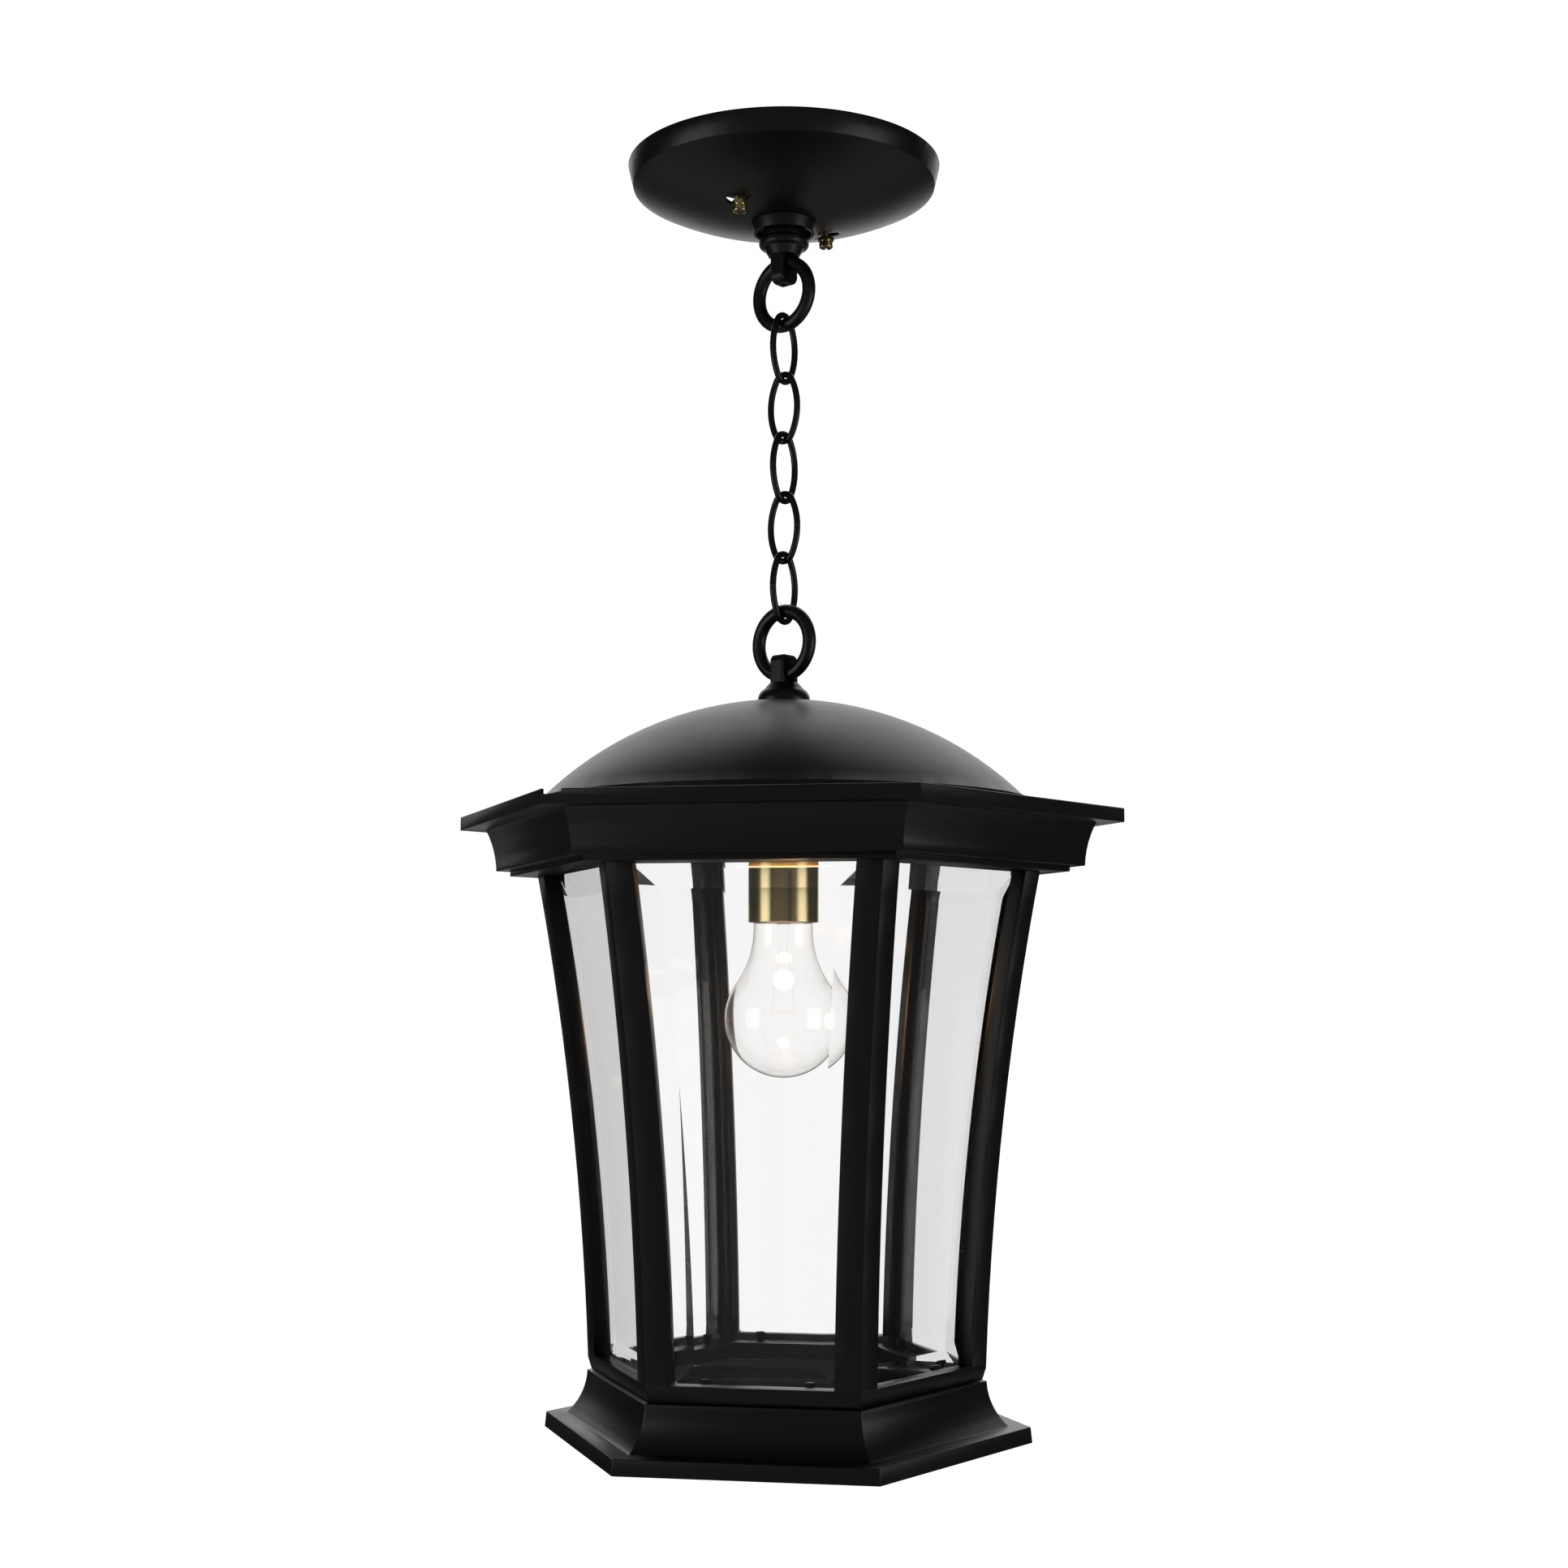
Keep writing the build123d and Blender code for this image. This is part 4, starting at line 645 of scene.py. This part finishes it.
# %% [markdown]
# ## Ground, room and light
# The lantern hangs in a studio against a white backdrop. The light behind it is a broad patch that hangs a
# little above it, the sides are dark and the room behind the camera is dim, so satin black paint stays
# black wherever it looks at us or to the side and blooms at the top of the dome and along its outlines.
# Whoever looks straight past the lantern, or straight through its panes, sees plain white. The floor is a
# room's height below, matt and pale; seen directly it glows as evenly as the backdrop, but it throws no
# extra light on the lantern.

# %% Who looks straight at the backdrop


def looks_straight(tree):
    """1 for a ray that left the eye and has met nothing but glass, which it crossed; 0 for every other ray."""
    path = add(tree, "ShaderNodeLightPath").outputs
    from_eye, through_glass = path["Is Camera Ray"], path["Is Transmission Ray"]
    seen = add(tree, "ShaderNodeMath", {"operation": "MAXIMUM"}, i0=from_eye, i1=through_glass)
    turns = add(tree, "ShaderNodeMath", {"operation": "ADD"}, i0=path["Glossy Depth"], i1=path["Diffuse Depth"])
    unturned = add(tree, "ShaderNodeMath", {"operation": "LESS_THAN"}, i0=turns.outputs[0], i1=0.5)
    both = add(tree, "ShaderNodeMath", {"operation": "MULTIPLY"}, i0=seen.outputs[0], i1=unturned.outputs[0])
    return both.outputs[0]


# %% Floor
ROOM_HEIGHT = 2.4
FLOOR_HALF = 4.0
floor_corners = np.array([(-1, -1, 0), (1, -1, 0), (1, 1, 0), (-1, 1, 0)]) * FLOOR_HALF - (0, 0, ROOM_HEIGHT)
floor_mesh = bpy.data.meshes.new("floor")
floor_mesh.from_pydata(floor_corners.tolist(), [], [(0, 1, 2, 3)])
floor = bpy.data.objects.new("floor", floor_mesh)
bpy.context.collection.objects.link(floor)
floor_paint, tree = new_material("pale_floor")
where = add(tree, "ShaderNodeTexCoord").outputs["Object"]
speck = add(tree, "ShaderNodeTexNoise", Vector=where, Scale=3.0)
tone = add(tree, "ShaderNodeMapRange", Value=speck.outputs["Fac"], To_Min=0.78, To_Max=0.82)
matt = add(tree, "ShaderNodeBsdfDiffuse", Color=tone.outputs["Result"])
lit = add(tree, "ShaderNodeEmission", Color=tone.outputs["Result"])
both = add(tree, "ShaderNodeMixShader", Fac=looks_straight(tree), i1=matt.outputs[0], i2=lit.outputs[0])
close(tree, both.outputs[0])
paint(floor, floor_paint)
print("floor at", -ROOM_HEIGHT, "m")

# %% Studio world
PATCH_WAY = (-0.0845, 0.8619, 0.5)    # towards the middle of the bright patch: behind, 30 degrees up
ROOM_WAY = (0.167, -0.986, 0.0)       # towards the room behind the camera
PATCH = 1.15                          # brightness of the patch
ROOM = 0.13                           # of the room behind the camera
WINGS = 0.03                          # of the sides
PLAIN = 1.08                          # of the backdrop as seen directly
world = bpy.data.worlds.new("studio")
bpy.context.scene.world = world
world.use_nodes = True
tree = world.node_tree
tree.nodes.clear()
look = add(tree, "ShaderNodeTexCoord").outputs["Generated"]


def soft_light(way, start, full, low, high):
    """Brightness by direction: low where the cosine to a way is under start, high over full, S curve between."""
    towards = add(tree, "ShaderNodeVectorMath", {"operation": "DOT_PRODUCT"}, i0=look, i1=way).outputs["Value"]
    return add(
        tree, "ShaderNodeMapRange", {"interpolation_type": "SMOOTHSTEP"}, Value=towards, From_Min=start,
        From_Max=full, To_Min=low, To_Max=high)


patch = soft_light(PATCH_WAY, 0.70, 0.91, 0.0, PATCH)
room = soft_light(ROOM_WAY, 0.1, 0.9, WINGS, ROOM)
patch, room = patch.outputs["Result"], room.outputs["Result"]
studio = add(tree, "ShaderNodeMath", {"operation": "ADD"}, i0=patch, i1=room)
level = add(tree, "ShaderNodeMix", Factor=looks_straight(tree), A=studio.outputs[0], B=PLAIN)
background = add(tree, "ShaderNodeBackground", Color=(1, 1, 1, 1), Strength=level.outputs["Result"])
add(tree, "ShaderNodeOutputWorld", Surface=background.outputs[0])
bpy.context.scene.view_settings.view_transform = "Standard"
print("world made: patch", PATCH, "room", ROOM, "wings", WINGS)

# %% [markdown]
# ## Ceiling box
# On a real ceiling the canopy covers a round steel box. Its lid is one flat disc just above the ceiling
# plane, so that nobody sees daylight through the keyholes in the canopy.

# %% Ceiling box
BOX_R = 60.0
BOX_UP = 4.0             # above the ceiling plane
box_turn = np.linspace(0, 2 * np.pi, 48, endpoint=False)
box_points = np.stack([BOX_R * np.cos(box_turn), BOX_R * np.sin(box_turn), BOX_UP + 0 * box_turn], axis=1) * MM
box_mesh = bpy.data.meshes.new("ceiling_box")
box_mesh.from_pydata(box_points.tolist(), [], [list(range(len(box_points)))])
ceiling_box = bpy.data.objects.new("ceiling_box", box_mesh)
bpy.context.collection.objects.link(ceiling_box)
paint(ceiling_box, zinc_steel)
print("ceiling box radius", BOX_R, "mm")

# %% [markdown]
# ## Lamps
# Two rectangular softboxes stand well to either side of the camera, level with the socket. Anything round
# and shiny mirrors each of them as one upright band. A small warm lamp inside the bulb stands in for the
# filament's glow, and a warm disc under the ceiling plate for what that throws up round the cup. Both swing
# with the lantern.

# %% Lamps
SOFTBOX_FAR = 1.3        # metres from the axis
SOFTBOX_LEVEL = -0.45
SOFTBOX_AIM = Vector((0, 0, -0.42))
SOFTBOX_WIDE, SOFTBOX_HIGH = 0.72, 0.8
SOFTBOX_WATTS = 2.9
DISC_DOWN = 29.5         # the glowing disc in the bulb, below the cup's rim
DISC_R = 5.2
THROWN_WIDE = 50.0       # the disc of light round the cup
THROWN_DOWN = 3.0        # below the ceiling plate


def softbox(name, degrees):
    """A rectangular area light on a circle round the lantern, at an angle from +X, turned to face the bulb."""
    lamp = bpy.data.lights.new(name, "AREA")
    lamp.shape = "RECTANGLE"
    lamp.size = SOFTBOX_WIDE
    lamp.size_y = SOFTBOX_HIGH
    lamp.energy = SOFTBOX_WATTS
    holder = bpy.data.objects.new(name, lamp)
    turn = np.radians(degrees)
    place = Vector((SOFTBOX_FAR * np.cos(turn), SOFTBOX_FAR * np.sin(turn), SOFTBOX_LEVEL))
    holder.location = place
    holder.rotation_euler = (SOFTBOX_AIM - place).to_track_quat("-Z", "Y").to_euler()
    holder.visible_camera = False
    bpy.context.collection.objects.link(holder)


softbox("left_softbox", -143.9)
softbox("right_softbox", -16.9)


def warm_lamp(name, kind, watts, height, body):
    """A warm lamp on the axis at a height in millimetres, facing up, which swings with a body."""
    lamp = bpy.data.lights.new(name, kind)
    lamp.energy = watts
    lamp.color = linear("#ffc890")[:3]
    holder = bpy.data.objects.new(name, lamp)
    holder.location = (0, 0, height * MM)
    holder.rotation_euler = (np.pi, 0, 0)
    bpy.context.collection.objects.link(holder)
    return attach(holder, body)


disc_glow = warm_lamp("bulb_glow", "POINT", 0.12, cup_low - DISC_DOWN, "bulb")
disc_glow.data.shadow_soft_size = DISC_R * MM
plate_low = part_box("ceiling_plate")[0].z / MM
thrown_up = warm_lamp("glow_thrown_up_round_the_cup", "AREA", 0.07, plate_low - THROWN_DOWN, "lantern")
thrown_up.visible_camera = False
thrown_up.data.shape = "DISK"
thrown_up.data.size = THROWN_WIDE * MM
print("lights:", len(bpy.data.lights))
